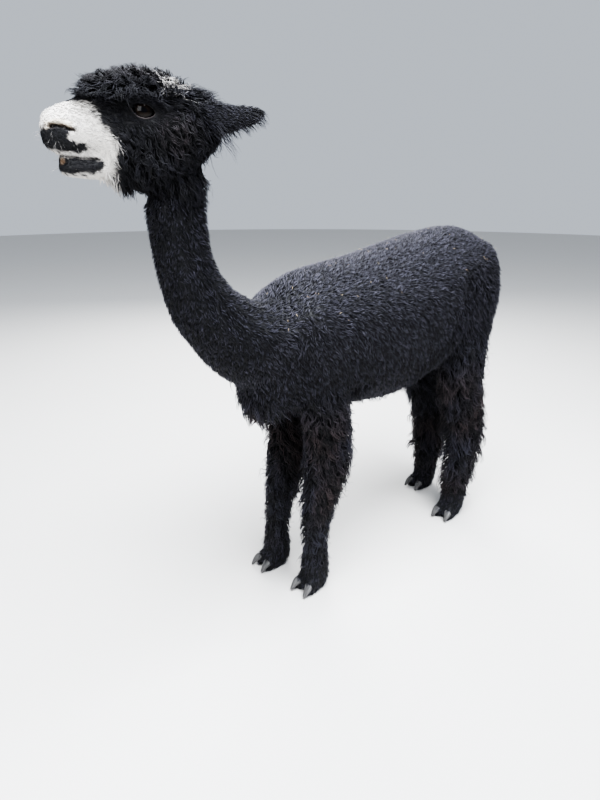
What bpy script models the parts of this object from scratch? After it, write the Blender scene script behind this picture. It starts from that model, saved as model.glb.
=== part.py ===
"""A standing alpaca, life size, in a shorn coat: solids out to the tips of the fleece.

The body is modelled whole, from lofted forms that are fused into one skin, and is then parted
by thin cuts into the pieces that a person would name. Eyes, ears, tail and toenails are forms
of their own, each set in a pocket that is a hair wider than the form.

Frame: metres, +X is the way the body faces, +Y its left side, +Z up, floor at Z = 0.
"""

import math

import bmesh
import bpy
from mathutils import Matrix, Vector

# ---------------------------------------------------------------- driving dimensions
GAP = 0.0004  # clear space at the cuts between neighbouring solids
POCKET_GAP = 0.0008  # clear space round a form that is set in a pocket
WITHERS_HEIGHT = 0.893  # top of the shoulders, tips of the fleece
RUMP_HEIGHT = 0.972  # top of the croup
BELLY_HEIGHT = 0.476  # underside of the barrel
HALF_BARREL = 0.187  # widest half width of the barrel
BODY_BACK = -0.470  # rear of the haunches
CHEST_FRONT = 0.474  # front of the brisket
FRONT_LEG_X = 0.296  # line of the fore cannon bones
HIND_LEG_X = -0.345  # line of the hind cannon bones
FRONT_LEG_Y = 0.074
HIND_LEG_Y = 0.094
LEVELS = {"foot": 0.088, "shin": 0.300}  # heights of the cuts across each leg
HEAD_CUT = 1.052  # height of the cut between neck and head
HEAD_AT = Vector((0.674, 0.0, 1.212))  # point midway between the eyes
HEAD_TURN = math.radians(-24.5)  # the head looks to the animal's right
EYE_RADIUS = 0.0195
EYE_AT = Vector((0.001, 0.0475, -0.003))  # centre of the left eyeball in the head's own axes
NAIL_LENGTH = 0.030
NAIL_HALF_WIDTH = 0.0085
NAIL_STATIONS = 5
SIDES_OF_BODY = ((1, "left"), (-1, "right"))
SECTION_POINTS = 16  # points in each section of a loft
VOXEL = 0.006  # grain of the fused skin
WHOLE_TRIANGLES = 4000  # triangles kept for the fused body
FIRST_PASSES = 4  # smoothing over everything, to take out the grain
BODY_PASSES = 36  # smoothing that melts the forms of the body into each other
DETAIL_SOFTNESS = 0.1  # share of that smoothing on head and feet
DETAIL_THINNING = 0.96  # share of the thinning on head and feet

COAT = (0.012, 0.012, 0.015)
EYE_BROWN = (0.020, 0.010, 0.006)
NAIL_GREY = (0.30, 0.29, 0.28)

HEAD_TO_BODY = Matrix.Translation(HEAD_AT) @ Matrix.Rotation(HEAD_TURN, 4, "Z")


# ---------------------------------------------------------------- scene and materials
def clear_scene():
    for obj in list(bpy.data.objects):
        bpy.data.objects.remove(obj)


def collection(name):
    made = bpy.data.collections.new(name)
    bpy.context.scene.collection.children.link(made)
    return made


def material(name, colour, roughness):
    made = bpy.data.materials.new(name)
    made.use_nodes = True
    shader = made.node_tree.nodes["Principled BSDF"]
    shader.inputs["Base Color"].default_value = (*colour, 1.0)
    shader.inputs["Roughness"].default_value = roughness
    shader.inputs["Metallic"].default_value = 0.0
    return made


def add_object(name, mesh, group, paint=None):
    obj = bpy.data.objects.new(name, mesh)
    group.objects.link(obj)
    if paint:
        mesh.materials.clear()
        mesh.materials.append(paint)
    return obj


def hide_tool(obj):
    obj.hide_render = True
    obj.display_type = "WIRE"
    return obj


# ---------------------------------------------------------------- lofts
def oval(centre, across, upward, half_width, half_top, half_bottom, count=SECTION_POINTS):
    """Points of a section: an oval that may be deeper below its widest line than above."""
    points = []
    for step in range(count):
        angle = 2 * math.pi * step / count
        side = math.cos(angle) * half_width
        rise = math.sin(angle) * (half_top if angle < math.pi else half_bottom)
        points.append(centre + across * side + upward * rise)
    return points


def loft(name, rings, smooth=2, place=None):
    """A closed form through the rings, rounded by Subdivision Surface."""
    bm = bmesh.new()
    loops = [[bm.verts.new(point) for point in ring] for ring in rings]
    for near, far in zip(loops, loops[1:]):
        for k in range(len(near)):
            n = (k + 1) % len(near)
            bm.faces.new((near[k], near[n], far[n], far[k]))
    bm.faces.new(reversed(loops[0]))
    bm.faces.new(loops[-1])
    bmesh.ops.recalc_face_normals(bm, faces=bm.faces)
    mesh = bpy.data.meshes.new(name)
    bm.to_mesh(mesh)
    bm.free()
    obj = hide_tool(add_object(name, mesh, FORMS))
    if place:
        obj.matrix_world = place
    rounding = obj.modifiers.new("rounding", "SUBSURF")
    rounding.levels = rounding.render_levels = smooth
    return obj


def barrel(name, sections, place=None):
    """Loft along X. A section is (x, top, bottom, half width, height of the widest line)."""
    across, upward = Vector((0, 1, 0)), Vector((0, 0, 1))
    rings = [
        oval(Vector((x, 0, wide)), across, upward, half, top - wide, wide - bottom)
        for x, top, bottom, half, wide in sections
    ]
    return loft(name, rings, place=place)


def limb(name, stations, grow=0.0, place=None, count=SECTION_POINTS, smooth=2):
    """Loft along a bent line. A station is (centre, half depth, half width): the depth lies
    in the plane of the bend, and the width lies along Y. To grow it widens every section and
    lengthens both ends."""
    centres = [Vector(centre) for centre, _, _ in stations]
    rings = []
    for k, (_, depth, width) in enumerate(stations):
        before, after = centres[max(k - 1, 0)], centres[min(k + 1, len(centres) - 1)]
        along = (after - before).normalized()
        across = Vector((0, 1, 0)) - along * along.y
        across.normalize()
        upward = along.cross(across)
        end = -grow if k == 0 else grow if k == len(centres) - 1 else 0.0
        centre = centres[k] + along * end
        deep = depth + grow
        rings.append(oval(centre, across, upward, width + grow, deep, deep, count))
    return loft(name, rings, smooth, place)


def ball(name, centre, radii, turn=0.0, place=None):
    """An ellipsoid, turned about Y."""
    mesh = bpy.data.meshes.new(name)
    bm = bmesh.new()
    bmesh.ops.create_uvsphere(bm, u_segments=16, v_segments=10, radius=1.0)
    shape = (
        Matrix.Translation(centre)
        @ Matrix.Rotation(turn, 4, "Y")
        @ Matrix.Diagonal((*radii, 1))
    )
    bmesh.ops.transform(bm, matrix=shape, verts=bm.verts)
    bm.to_mesh(mesh)
    bm.free()
    obj = hide_tool(add_object(name, mesh, FORMS))
    if place:
        obj.matrix_world = place
    return obj


def mirrored(point, side):
    return Vector((point[0], point[1] * side, point[2]))


# ---------------------------------------------------------------- the body's forms
def trunk_forms():
    """Barrel, shoulders and haunches."""
    barrel_sections = [
        # x, top, bottom, half width, widest line
        (BODY_BACK, 0.850, 0.720, 0.050, 0.790),
        (-0.445, 0.908, 0.665, 0.100, 0.790),
        (-0.390, 0.950, 0.620, 0.138, 0.785),
        (-0.310, RUMP_HEIGHT, 0.590, 0.162, 0.775),
        (-0.220, 0.966, 0.545, 0.180, 0.755),
        (-0.120, 0.953, 0.493, 0.187, 0.735),
        (-0.010, 0.932, BELLY_HEIGHT, HALF_BARREL, 0.715),
        (0.110, 0.911, BELLY_HEIGHT + 0.018, 0.181, 0.705),
        (0.220, 0.900, 0.512, 0.168, 0.700),
        (0.300, WITHERS_HEIGHT, 0.522, 0.152, 0.700),
        (0.370, 0.860, 0.522, 0.132, 0.690),
        (0.430, 0.790, 0.522, 0.102, 0.660),
        (CHEST_FRONT, 0.720, 0.545, 0.055, 0.635),
    ]
    forms = [barrel("form_barrel", barrel_sections)]
    for side, label in SIDES_OF_BODY:
        forms.append(
            ball(
                f"form_shoulder_{label}",
                Vector((0.285, 0.086 * side, 0.695)),
                (0.110, 0.073, 0.150),
                math.radians(18),
            )
        )
        forms.append(
            ball(
                f"form_haunch_{label}",
                Vector((-0.332, 0.080 * side, 0.745)),
                (0.114, 0.080, 0.185),
                math.radians(-12),
            )
        )
    return forms


def neck_form():
    """Neck: out of the chest at a slant, then bending up to carry the head."""
    head_base = HEAD_TO_BODY @ Vector((-0.050, 0.0, -0.075))
    stations = [
        ((0.300, 0, 0.715), 0.125, 0.132),
        ((0.410, 0, 0.705), 0.126, 0.122),
        ((0.492, 0, 0.742), 0.106, 0.100),
        ((0.560, 0, 0.815), 0.081, 0.077),
        ((0.600, 0, 0.895), 0.066, 0.062),
        ((0.614, 0, 0.975), 0.063, 0.058),
        ((0.616, 0, 1.060), 0.066, 0.060),
        (head_base, 0.064, 0.062),
    ]
    return limb("form_neck", stations)


def leg_stations(stations, side, offset_y, toe_shift, top):
    """Stations of one leg. The foot may stand ahead of or behind the common place, and the
    shift fades out towards the top of the leg."""
    placed = []
    for x, z, depth, width, outward in stations:
        fade = 1.0 - min(z / top, 1.0)
        at = ((x + toe_shift[0] * fade), side * (offset_y + outward) + toe_shift[1] * fade, z)
        placed.append((at, depth, width))
    return placed


def front_leg_form(label, side, toe_shift):
    stations = [
        # x, z, half depth, half width, outward lean
        (0.300, 0.690, 0.084, 0.058, 0.012),
        (0.286, 0.590, 0.088, 0.064, 0.012),
        (0.260, 0.500, 0.084, 0.066, 0.006),
        (0.254, 0.420, 0.081, 0.066, 0.000),
        (0.261, 0.345, 0.075, 0.061, 0.000),
        (0.277, 0.280, 0.062, 0.053, 0.000),
        (0.292, 0.220, 0.049, 0.043, 0.000),
        (FRONT_LEG_X, 0.160, 0.038, 0.036, 0.000),
        (FRONT_LEG_X, 0.110, 0.037, 0.035, 0.000),
        (0.294, 0.070, 0.042, 0.038, 0.000),
        (0.295, 0.036, 0.045, 0.039, 0.000),
        (0.296, 0.004, 0.043, 0.037, 0.000),
    ]
    placed = leg_stations(stations, side, FRONT_LEG_Y, toe_shift, 0.6)
    return limb(f"form_front_leg_{label}", placed)


def hind_leg_form(label, side, toe_shift):
    stations = [
        (-0.340, 0.790, 0.110, 0.050, 0.000),
        (-0.318, 0.700, 0.122, 0.062, 0.000),
        (-0.304, 0.610, 0.115, 0.068, 0.000),
        (-0.308, 0.520, 0.103, 0.070, 0.000),
        (-0.330, 0.440, 0.089, 0.069, 0.000),
        (-0.354, 0.365, 0.082, 0.067, 0.000),
        (-0.367, 0.295, 0.075, 0.062, 0.000),
        (-0.364, 0.230, 0.066, 0.055, 0.000),
        (-0.352, 0.170, 0.056, 0.048, 0.000),
        (HIND_LEG_X, 0.118, 0.045, 0.041, 0.000),
        (-0.340, 0.075, 0.043, 0.040, 0.000),
        (-0.335, 0.038, 0.044, 0.040, 0.000),
        (-0.330, 0.004, 0.042, 0.038, 0.000),
    ]
    placed = leg_stations(stations, side, HIND_LEG_Y, toe_shift, 0.9)
    return limb(f"form_hind_leg_{label}", placed)


def toe_lines(heel, turn):
    """The two toes of a foot: for each, its turn, the place of its root and its side (1, -1)."""
    lines = []
    for inner in (1, -1):
        splay = Matrix.Rotation(turn + inner * math.radians(7), 3, "Z")
        root = heel + Matrix.Rotation(turn, 3, "Z") @ Vector((0.006, inner * 0.0160, 0))
        lines.append((splay, root, inner))
    return lines


def toe_forms(label, heel, turn):
    """Two padded toes with flat soles, side by side."""
    forms = []
    for splay, root, inner in toe_lines(heel, turn):
        stations = [
            ((-0.040, 0, 0.018), 0.026, 0.017),
            ((-0.005, 0, 0.026), 0.034, 0.020),
            ((0.022, 0, 0.022), 0.030, 0.020),
            ((0.042, 0, 0.016), 0.023, 0.017),
            ((0.056, 0, 0.012), 0.015, 0.012),
        ]
        place = Matrix.Translation(root) @ splay.to_4x4()
        name = f"form_toe_{label}_{'left' if inner > 0 else 'right'}"
        forms.append(limb(name, stations, place=place))
    return forms


# ---------------------------------------------------------------- the head's forms
def head_forms():
    """Skull and cheeks, muzzle, jaw and topknot, in the head's own axes: +X to the nose."""
    place = HEAD_TO_BODY
    skull = [
        (-0.146, 0.010, -0.042, 0.036, -0.016),
        (-0.125, 0.034, -0.072, 0.064, -0.022),
        (-0.088, 0.050, -0.108, 0.081, -0.030),
        (-0.045, 0.058, -0.144, 0.084, -0.048),
        (0.000, 0.056, -0.156, 0.078, -0.060),
        (0.038, 0.050, -0.153, 0.065, -0.060),
        (0.068, 0.042, -0.137, 0.052, -0.050),
        (0.085, 0.034, -0.110, 0.040, -0.040),
    ]
    muzzle = [
        (0.020, 0.046, -0.096, 0.056, -0.020),
        (0.060, 0.040, -0.090, 0.050, -0.030),
        (0.100, 0.029, -0.084, 0.043, -0.038),
        (0.135, 0.018, -0.080, 0.041, -0.040),
        (0.162, 0.008, -0.078, 0.040, -0.040),
        (0.180, -0.002, -0.071, 0.033, -0.038),
        (0.188, -0.014, -0.059, 0.020, -0.037),
    ]
    jaw = [
        (0.020, -0.060, -0.130, 0.046, -0.090),
        (0.060, -0.070, -0.126, 0.040, -0.095),
        (0.100, -0.078, -0.122, 0.034, -0.098),
        (0.130, -0.080, -0.121, 0.031, -0.098),
        (0.156, -0.082, -0.117, 0.025, -0.098),
        (0.166, -0.088, -0.107, 0.014, -0.097),
    ]
    topknot = [
        (-0.138, 0.022, -0.030, 0.030, 0.000),
        (-0.118, 0.042, -0.040, 0.056, 0.005),
        (-0.080, 0.062, -0.030, 0.073, 0.014),
        (-0.040, 0.077, -0.020, 0.079, 0.022),
        (0.005, 0.083, -0.020, 0.077, 0.026),
        (0.045, 0.079, -0.014, 0.067, 0.030),
        (0.080, 0.070, -0.002, 0.054, 0.030),
        (0.102, 0.057, 0.008, 0.038, 0.030),
        (0.113, 0.044, 0.018, 0.018, 0.030),
    ]
    return [
        barrel("form_skull", skull, place),
        barrel("form_muzzle", muzzle, place),
        barrel("form_jaw", jaw, place),
        barrel("form_topknot", topknot, place),
    ]


def eye_hollow(label, side):
    """The dip in the fleece that leaves the eyeball in view."""
    centre = Vector((0.006, 0.088, -0.003))
    radii = (0.034, 0.032, 0.025)
    return ball(f"form_eye_{label}_hollow", mirrored(centre, side), radii, place=HEAD_TO_BODY)


def eyeball(label, side, grow=0.0):
    return ball(
        f"form_eye_{label}" + ("_socket" if grow else ""),
        mirrored(EYE_AT, side),
        [EYE_RADIUS + grow] * 3,
        place=HEAD_TO_BODY,
    )


def ear(label, side, grow=0.0):
    """A spear-shaped ear laid back along the neck, its flat face outward."""
    stations = [
        ((-0.072, 0.052, -0.008), 0.017, 0.009),
        ((-0.100, 0.060, -0.011), 0.025, 0.012),
        ((-0.125, 0.065, -0.012), 0.026, 0.011),
        ((-0.150, 0.068, -0.014), 0.024, 0.010),
        ((-0.175, 0.071, -0.016), 0.020, 0.008),
        ((-0.197, 0.073, -0.017), 0.014, 0.006),
        ((-0.216, 0.074, -0.018), 0.006, 0.004),
    ]
    placed = [(mirrored(at, side), depth, width) for at, depth, width in stations]
    name = f"form_ear_{label}" + ("_pocket" if grow else "")
    return limb(name, placed, grow, HEAD_TO_BODY, count=10, smooth=0)


def tail(grow=0.0):
    """A short fleecy tail that hangs down the back of the haunches."""
    stations = [
        ((-0.395, 0, 0.856), 0.024, 0.028),
        ((-0.440, 0, 0.848), 0.030, 0.036),
        ((-0.474, 0, 0.812), 0.031, 0.041),
        ((-0.488, 0, 0.755), 0.030, 0.042),
        ((-0.493, 0, 0.690), 0.027, 0.038),
        ((-0.495, 0, 0.625), 0.021, 0.029),
        ((-0.494, 0, 0.585), 0.010, 0.014),
    ]
    return limb("form_tail" + ("_pocket" if grow else ""), stations, grow, count=10, smooth=0)


def nail(name, place, grow=0.0):
    """A curved toenail that springs from the top of the toe and bends down to the floor."""
    stations = []
    for step in range(NAIL_STATIONS):
        t = step / (NAIL_STATIONS - 1)
        depth = 0.0110 * (1 - 0.78 * t)
        half = NAIL_HALF_WIDTH * (1 - 0.62 * t**1.5)
        drop = 0.0270 - 0.005 * t - 0.0165 * t**2
        stations.append(((0.036 + NAIL_LENGTH * t, 0, drop), depth, half))
    return limb(name + ("_pocket" if grow else ""), stations, grow, place, count=8, smooth=0)


# ---------------------------------------------------------------- fusing and parting
def evaluated_mesh(obj):
    graph = bpy.context.evaluated_depsgraph_get()
    mesh = bpy.data.meshes.new_from_object(obj.evaluated_get(graph), depsgraph=graph)
    mesh.transform(obj.matrix_world)
    return mesh


def weigh_detail(obj, name, weight):
    """A vertex group that is full on the body and has the given weight on head and feet."""
    group = obj.vertex_groups.new(name=name)
    for vertex in obj.data.vertices:
        detailed = vertex.co.z > HEAD_CUT or vertex.co.z < LEVELS["foot"]
        group.add([vertex.index], weight if detailed else 1.0, "REPLACE")
    return group.name


def soften(obj, passes, group=""):
    step = obj.modifiers.new("soften", "SMOOTH")
    step.factor = 0.4
    step.iterations = passes
    step.vertex_group = group


def fuse(name, forms):
    """One closed skin over all the forms, smoothed and thinned to the triangles wanted."""
    bpy.context.view_layer.update()
    bm = bmesh.new()
    for form in forms:
        mesh = evaluated_mesh(form)
        bm.from_mesh(mesh)
        bpy.data.meshes.remove(mesh)
    joined = bpy.data.meshes.new(name)
    bm.to_mesh(joined)
    bm.free()
    obj = hide_tool(add_object(name, joined, FORMS))
    skin = obj.modifiers.new("skin", "REMESH")
    skin.mode = "VOXEL"
    skin.voxel_size = VOXEL
    bpy.context.view_layer.update()
    dense = evaluated_mesh(obj)
    obj.modifiers.clear()
    obj.data = dense
    soften(obj, FIRST_PASSES)
    soften(obj, BODY_PASSES, weigh_detail(obj, "soft_areas", DETAIL_SOFTNESS))
    thin = obj.modifiers.new("thin", "DECIMATE")
    thin.ratio = WHOLE_TRIANGLES / (2.0 * len(dense.polygons))
    thin.vertex_group = weigh_detail(obj, "plain_areas", DETAIL_THINNING)
    thin.vertex_group_factor = 1.0
    thin.use_collapse_triangulate = True
    bpy.context.view_layer.update()
    obj.data = evaluated_mesh(obj)
    obj.modifiers.clear()
    return obj


def block(name, corners):
    """A convex cutter through the given corners."""
    mesh = bpy.data.meshes.new(name)
    bm = bmesh.new()
    for corner in corners:
        bm.verts.new(corner)
    bmesh.ops.convex_hull(bm, input=bm.verts)
    bmesh.ops.recalc_face_normals(bm, faces=bm.faces)
    bm.to_mesh(mesh)
    bm.free()
    return hide_tool(add_object(name, mesh, CUTTERS))


def box_corners(x, y, z):
    return [(a, b, c) for a in x for b in y for c in z]


def moved(corners, shift):
    return [Vector(corner) + Vector(shift) for corner in corners]


def cut(obj, tool, operation):
    step = obj.modifiers.new(f"{operation.lower()}_{tool.name}", "BOOLEAN")
    step.operation = operation
    step.object = tool
    step.solver = "EXACT"


def node(name, source, paint):
    """A named piece that starts as the source's shape."""
    obj = add_object(name, source.data.copy(), ALPACA, paint)
    obj.matrix_world = source.matrix_world
    for old in source.modifiers:
        new = obj.modifiers.new(old.name, old.type)
        new.levels = new.render_levels = old.levels
    return obj


def leg_regions(front, side):
    """Corners of the three stacked blocks that hold one leg's thigh, shin and foot."""
    x = (0.160, 0.388) if front else (-0.620, -0.150)
    top_x = x if front else (-0.620, -0.200)
    inner_top, outer_top = (0.505, 0.730) if front else (0.520, 0.800)
    half = GAP / 2
    y = (side * half, side * 0.34)
    foot, shin = LEVELS["foot"], LEVELS["shin"]
    thigh = box_corners(x, y, (shin + half,))
    thigh += box_corners(top_x, y[:1], (inner_top,)) + box_corners(top_x, y[1:], (outer_top,))
    return {
        "upper": thigh,
        "shin": box_corners(x, y, (foot + half, shin - half)),
        "foot": box_corners(x, y, (0.0, foot - half)),
    }


def make():
    paints = {
        "coat": material("black_fleece", COAT, 0.85),
        "eye": material("dark_eye", EYE_BROWN, 0.08),
        "nail": material("grey_nail", NAIL_GREY, 0.45),
    }
    feet = {
        # side of the body, standing shift of the foot from the common place
        "front_left": (1, (0.000, 0.000)),
        "front_right": (-1, (0.016, -0.008)),
        "hind_left": (1, (0.008, -0.004)),
        "hind_right": (-1, (-0.090, -0.008)),
    }
    forms = trunk_forms() + [neck_form()] + head_forms()
    nails = []
    for label, (side, shift) in feet.items():
        front = label.startswith("front")
        forms.append((front_leg_form if front else hind_leg_form)(label, side, shift))
        heel_x, heel_y = (FRONT_LEG_X, FRONT_LEG_Y) if front else (-0.328, HIND_LEG_Y)
        heel = Vector((heel_x + shift[0], side * heel_y + shift[1], 0.0))
        turn = side * math.radians(4)
        forms += toe_forms(label, heel, turn)
        for splay, root, inner in toe_lines(heel, turn):
            place = Matrix.Translation(root) @ splay.to_4x4()
            digit = "outer" if inner == side else "inner"
            nails.append((label, f"nail_{label}_{digit}", place))
    whole = fuse("form_whole", forms)

    # Neck, head and trunk.
    neck_corners = [(0.340, y, 0.930) for y in (-0.3, 0.3)]
    neck_corners += [(0.555, y, 0.540) for y in (-0.3, 0.3)]
    neck_corners += box_corners((0.40, 0.95), (-0.3, 0.3), (HEAD_CUT,))
    neck_back = Vector((-0.408, 0.0, -0.170)).normalized() * GAP
    neck = node("neck", whole, paints["coat"])
    cut(neck, block("cut_neck", neck_corners), "INTERSECT")
    head = node("head", whole, paints["coat"])
    head_space = box_corners((0.20, 1.20), (-0.5, 0.5), (HEAD_CUT + GAP, 1.60))
    cut(head, block("cut_head", head_space), "INTERSECT")
    trunk = node("trunk", whole, paints["coat"])
    cut(trunk, block("cut_trunk_neck", moved(neck_corners, neck_back)), "DIFFERENCE")
    cut(trunk, block("cut_trunk_head", moved(head_space, (0, 0, -2 * GAP))), "DIFFERENCE")

    # Legs. The trunk gives way to a hull round each whole leg, widened to the middle plane
    # and raised by the gap.
    for label, (side, _) in feet.items():
        regions = leg_regions(label.startswith("front"), side)
        for part, corners in regions.items():
            name = f"foot_{label}" if part == "foot" else f"leg_{label}_{part}"
            leg = node(name, whole, paints["coat"])
            cut(leg, block(f"cut_{name}", corners), "INTERSECT")
        full = regions["upper"] + regions["foot"]
        below = moved([(x, 0.0 if abs(y) < 0.01 else y, z) for x, y, z in full], (0, 0, GAP))
        below += [(x, y, z - 0.05) for x, y, z in below]
        cut(trunk, block(f"cut_trunk_{label}", below), "DIFFERENCE")

    # Eyes, ears, tail and nails, each in its pocket.
    for side, label in SIDES_OF_BODY:
        node(f"eye_{label}", eyeball(label, side), paints["eye"])
        cut(head, eye_hollow(label, side), "DIFFERENCE")
        cut(head, eyeball(label, side, POCKET_GAP), "DIFFERENCE")
        node(f"ear_{label}", ear(label, side), paints["coat"])
        cut(head, ear(label, side, POCKET_GAP), "DIFFERENCE")
    node("tail", tail(), paints["coat"])
    cut(trunk, tail(POCKET_GAP), "DIFFERENCE")
    for foot, name, place in nails:
        node(name, nail("form_" + name, place), paints["nail"])
        cut(bpy.data.objects["foot_" + foot], nail("form_" + name, place, POCKET_GAP), "DIFFERENCE")


def centre_on_floor():
    """Move everything so that the outer box of the pieces stands centred on the origin."""
    base = bpy.data.objects.new("standing_point", None)
    bpy.context.scene.collection.objects.link(base)
    for group in (ALPACA, FORMS, CUTTERS):
        for obj in group.objects:
            obj.parent = base
    bpy.context.view_layer.update()
    points = []
    for obj in ALPACA.objects:
        mesh = evaluated_mesh(obj)
        points += [vertex.co.copy() for vertex in mesh.vertices]
        bpy.data.meshes.remove(mesh)
    for axis in (0, 1):
        values = [point[axis] for point in points]
        base.location[axis] = -(min(values) + max(values)) / 2


clear_scene()
ALPACA = collection("alpaca")
FORMS = collection("forms")
CUTTERS = collection("cutters")
make()
centre_on_floor()
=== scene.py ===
# %% [markdown]
# # A shorn alpaca, life size
#
# An alpaca that has just been shorn shows three kinds of hair at once: a short plush fleece on
# the body and neck, long curly locks left on the legs, cheeks and forelock, and very short
# hair on the muzzle and toes. So this lesson makes one smooth skin first, and then grows each
# kind of hair on it as thin solid locks. The frame of solids says how far the tips may reach.
# The skin lies inside those solids by the depth of the coat.

# %% The frame, and the tools for points
import math

import bmesh
import bpy
import numpy as np
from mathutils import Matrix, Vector, bvhtree, kdtree


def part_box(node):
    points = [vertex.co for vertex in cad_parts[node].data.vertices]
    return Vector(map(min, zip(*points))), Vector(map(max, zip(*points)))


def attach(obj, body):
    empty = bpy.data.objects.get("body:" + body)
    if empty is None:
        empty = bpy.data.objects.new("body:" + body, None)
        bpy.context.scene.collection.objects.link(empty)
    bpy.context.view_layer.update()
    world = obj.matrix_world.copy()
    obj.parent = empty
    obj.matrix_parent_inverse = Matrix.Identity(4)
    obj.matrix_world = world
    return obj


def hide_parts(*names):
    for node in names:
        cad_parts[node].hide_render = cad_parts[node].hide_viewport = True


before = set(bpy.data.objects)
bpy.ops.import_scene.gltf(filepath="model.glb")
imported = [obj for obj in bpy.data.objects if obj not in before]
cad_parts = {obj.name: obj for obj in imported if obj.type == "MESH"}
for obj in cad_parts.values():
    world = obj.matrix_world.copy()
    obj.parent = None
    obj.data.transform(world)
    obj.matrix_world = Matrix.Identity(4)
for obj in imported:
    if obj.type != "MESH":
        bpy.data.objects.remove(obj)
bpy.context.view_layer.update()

# %% [markdown]
# ## Where things are
#
# Every place is read from the solids, so that the looks fit them without any trial. The head is
# turned to the animal's right, so it gets axes of its own: ahead to the nose, left, and up, with
# the zero point midway between the eyes. A point of the head is then easy to name: a nostril is
# so much ahead and so much below the eyes.

# %% The head's own axes
UP = np.array((0.0, 0.0, 1.0))


def unit(vectors):
    return vectors / np.maximum(np.linalg.norm(vectors, axis=-1, keepdims=True), 1e-9)


def middle(node):
    low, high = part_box(node)
    return np.array((low + high) / 2)


HEAD = (middle("eye_left") + middle("eye_right")) / 2
LEFT = unit((middle("eye_left") - middle("eye_right")) * (1, 1, 0))
AHEAD = np.cross(LEFT, UP)
HEAD_AXES = np.array((AHEAD, LEFT, UP))


def in_head(points):
    """Points in the head's axes: ahead, left, up."""
    return (points - HEAD) @ HEAD_AXES.T


def from_head(points):
    return np.asarray(points) @ HEAD_AXES + HEAD


print("eyes at", HEAD.round(3), "the head looks along", AHEAD.round(3))

# %% [markdown]
# Most of the work below is done on all points of a mesh at once, as arrays of numbers. These
# few helpers read and write them, fade one thing into another, and make a soft random ripple.


# %% Arrays of numbers from a mesh
def numbers(items, key, width=1, kind=np.float32):
    values = np.empty(len(items) * width, kind)
    items.foreach_get(key, values)
    return values.reshape(-1, width) if width > 1 else values


def places(mesh):
    return numbers(mesh.vertices, "co", 3).astype(float)


def set_places(mesh, points):
    mesh.vertices.foreach_set("co", points.astype(np.float32).ravel())
    mesh.update()


def normals(mesh):
    return numbers(mesh.vertex_normals, "vector", 3).astype(float)


def distance(points, spot):
    return np.linalg.norm(points - spot, axis=1)


def ramp(values, start, end):
    """0 before start, 1 after end, and a smooth slope between."""
    t = np.clip((values - start) / (end - start), 0, 1)
    return t * t * (3 - 2 * t)


def bell(distance, width):
    """1 at no distance, fading to nothing past twice the width."""
    return np.exp(-((distance / width) ** 2))


def ripple(points, size, seed, waves=7):
    """A smooth random field from about -1 to 1, whose bumps are about size apart."""
    rng = np.random.default_rng(seed)
    total = np.zeros(len(points))
    for way in unit(rng.normal(size=(waves, 3))):
        total += np.sin(points @ way * 2 * math.pi / (size * rng.uniform(0.7, 1.5)) + rng.uniform(0, 6.3))
    return total / math.sqrt(waves)


print("half way up a ramp", ramp(0.5, 0, 1), "and at a bell's width", bell(1, 1).round(2))

# %% [markdown]
# ## The skin
#
# The solids are cut where a person would name the parts. A living skin has no cuts, so the
# fleshy solids are laid together, each a hair fatter so that the cuts close, and Remesh in Voxel
# mode draws one even surface over all of them. The facets of the solids are then relaxed away.
# Plain relaxing would shrink the legs, so every inward step is followed by one outward step, a
# little larger, which is known as Taubin smoothing.

# %% One surface over all the flesh
FLESH = [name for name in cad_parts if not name.startswith(("eye_", "nail_"))]
FILLED = [*FLESH, "eye_left", "eye_right"]  # the balls fill their sockets
CLOSE_CUTS = 0.0007  # how much fatter each solid is made
SKIN_GRAIN = 0.0055
WELD = 0.00001


def flesh_mesh(names, grow):
    """The named solids as one mesh, and the name of the solid behind each face."""
    joined = bmesh.new()
    owner = []
    for name in names:
        part = bmesh.new()
        part.from_mesh(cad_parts[name].data)
        bmesh.ops.remove_doubles(part, verts=part.verts, dist=WELD)
        for vertex, way in [(vertex, vertex.normal.copy()) for vertex in part.verts]:
            vertex.co += way * grow
        loose = bpy.data.meshes.new(name + "_flesh")
        part.to_mesh(loose)
        owner += [name] * len(part.faces)
        part.free()
        joined.from_mesh(loose)
        bpy.data.meshes.remove(loose)
    mesh = bpy.data.meshes.new("flesh")
    joined.to_mesh(mesh)
    joined.free()
    return mesh, owner


def add_piece(name, mesh):
    piece = bpy.data.objects.new(name, mesh)
    bpy.context.scene.collection.objects.link(piece)
    return piece


def modified(piece):
    """The mesh that an object's modifiers make of it."""
    graph = bpy.context.evaluated_depsgraph_get()
    return bpy.data.meshes.new_from_object(piece.evaluated_get(graph))


flesh, flesh_owner = flesh_mesh(FILLED, CLOSE_CUTS)
skin = add_piece("skin", flesh)
cover = skin.modifiers.new("one_surface", "REMESH")
cover.mode = "VOXEL"
cover.voxel_size = SKIN_GRAIN
skin.data = modified(skin)
skin.modifiers.clear()
print("skin faces:", len(skin.data.polygons))

# %% [markdown]
# Relaxing moves each point toward the mean of its neighbours along the edges. Any other value
# of the points can be spread in the same way, so the class below also serves for soft shares
# and depths. The head and the feet are relaxed less, since their forms are small.


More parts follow.
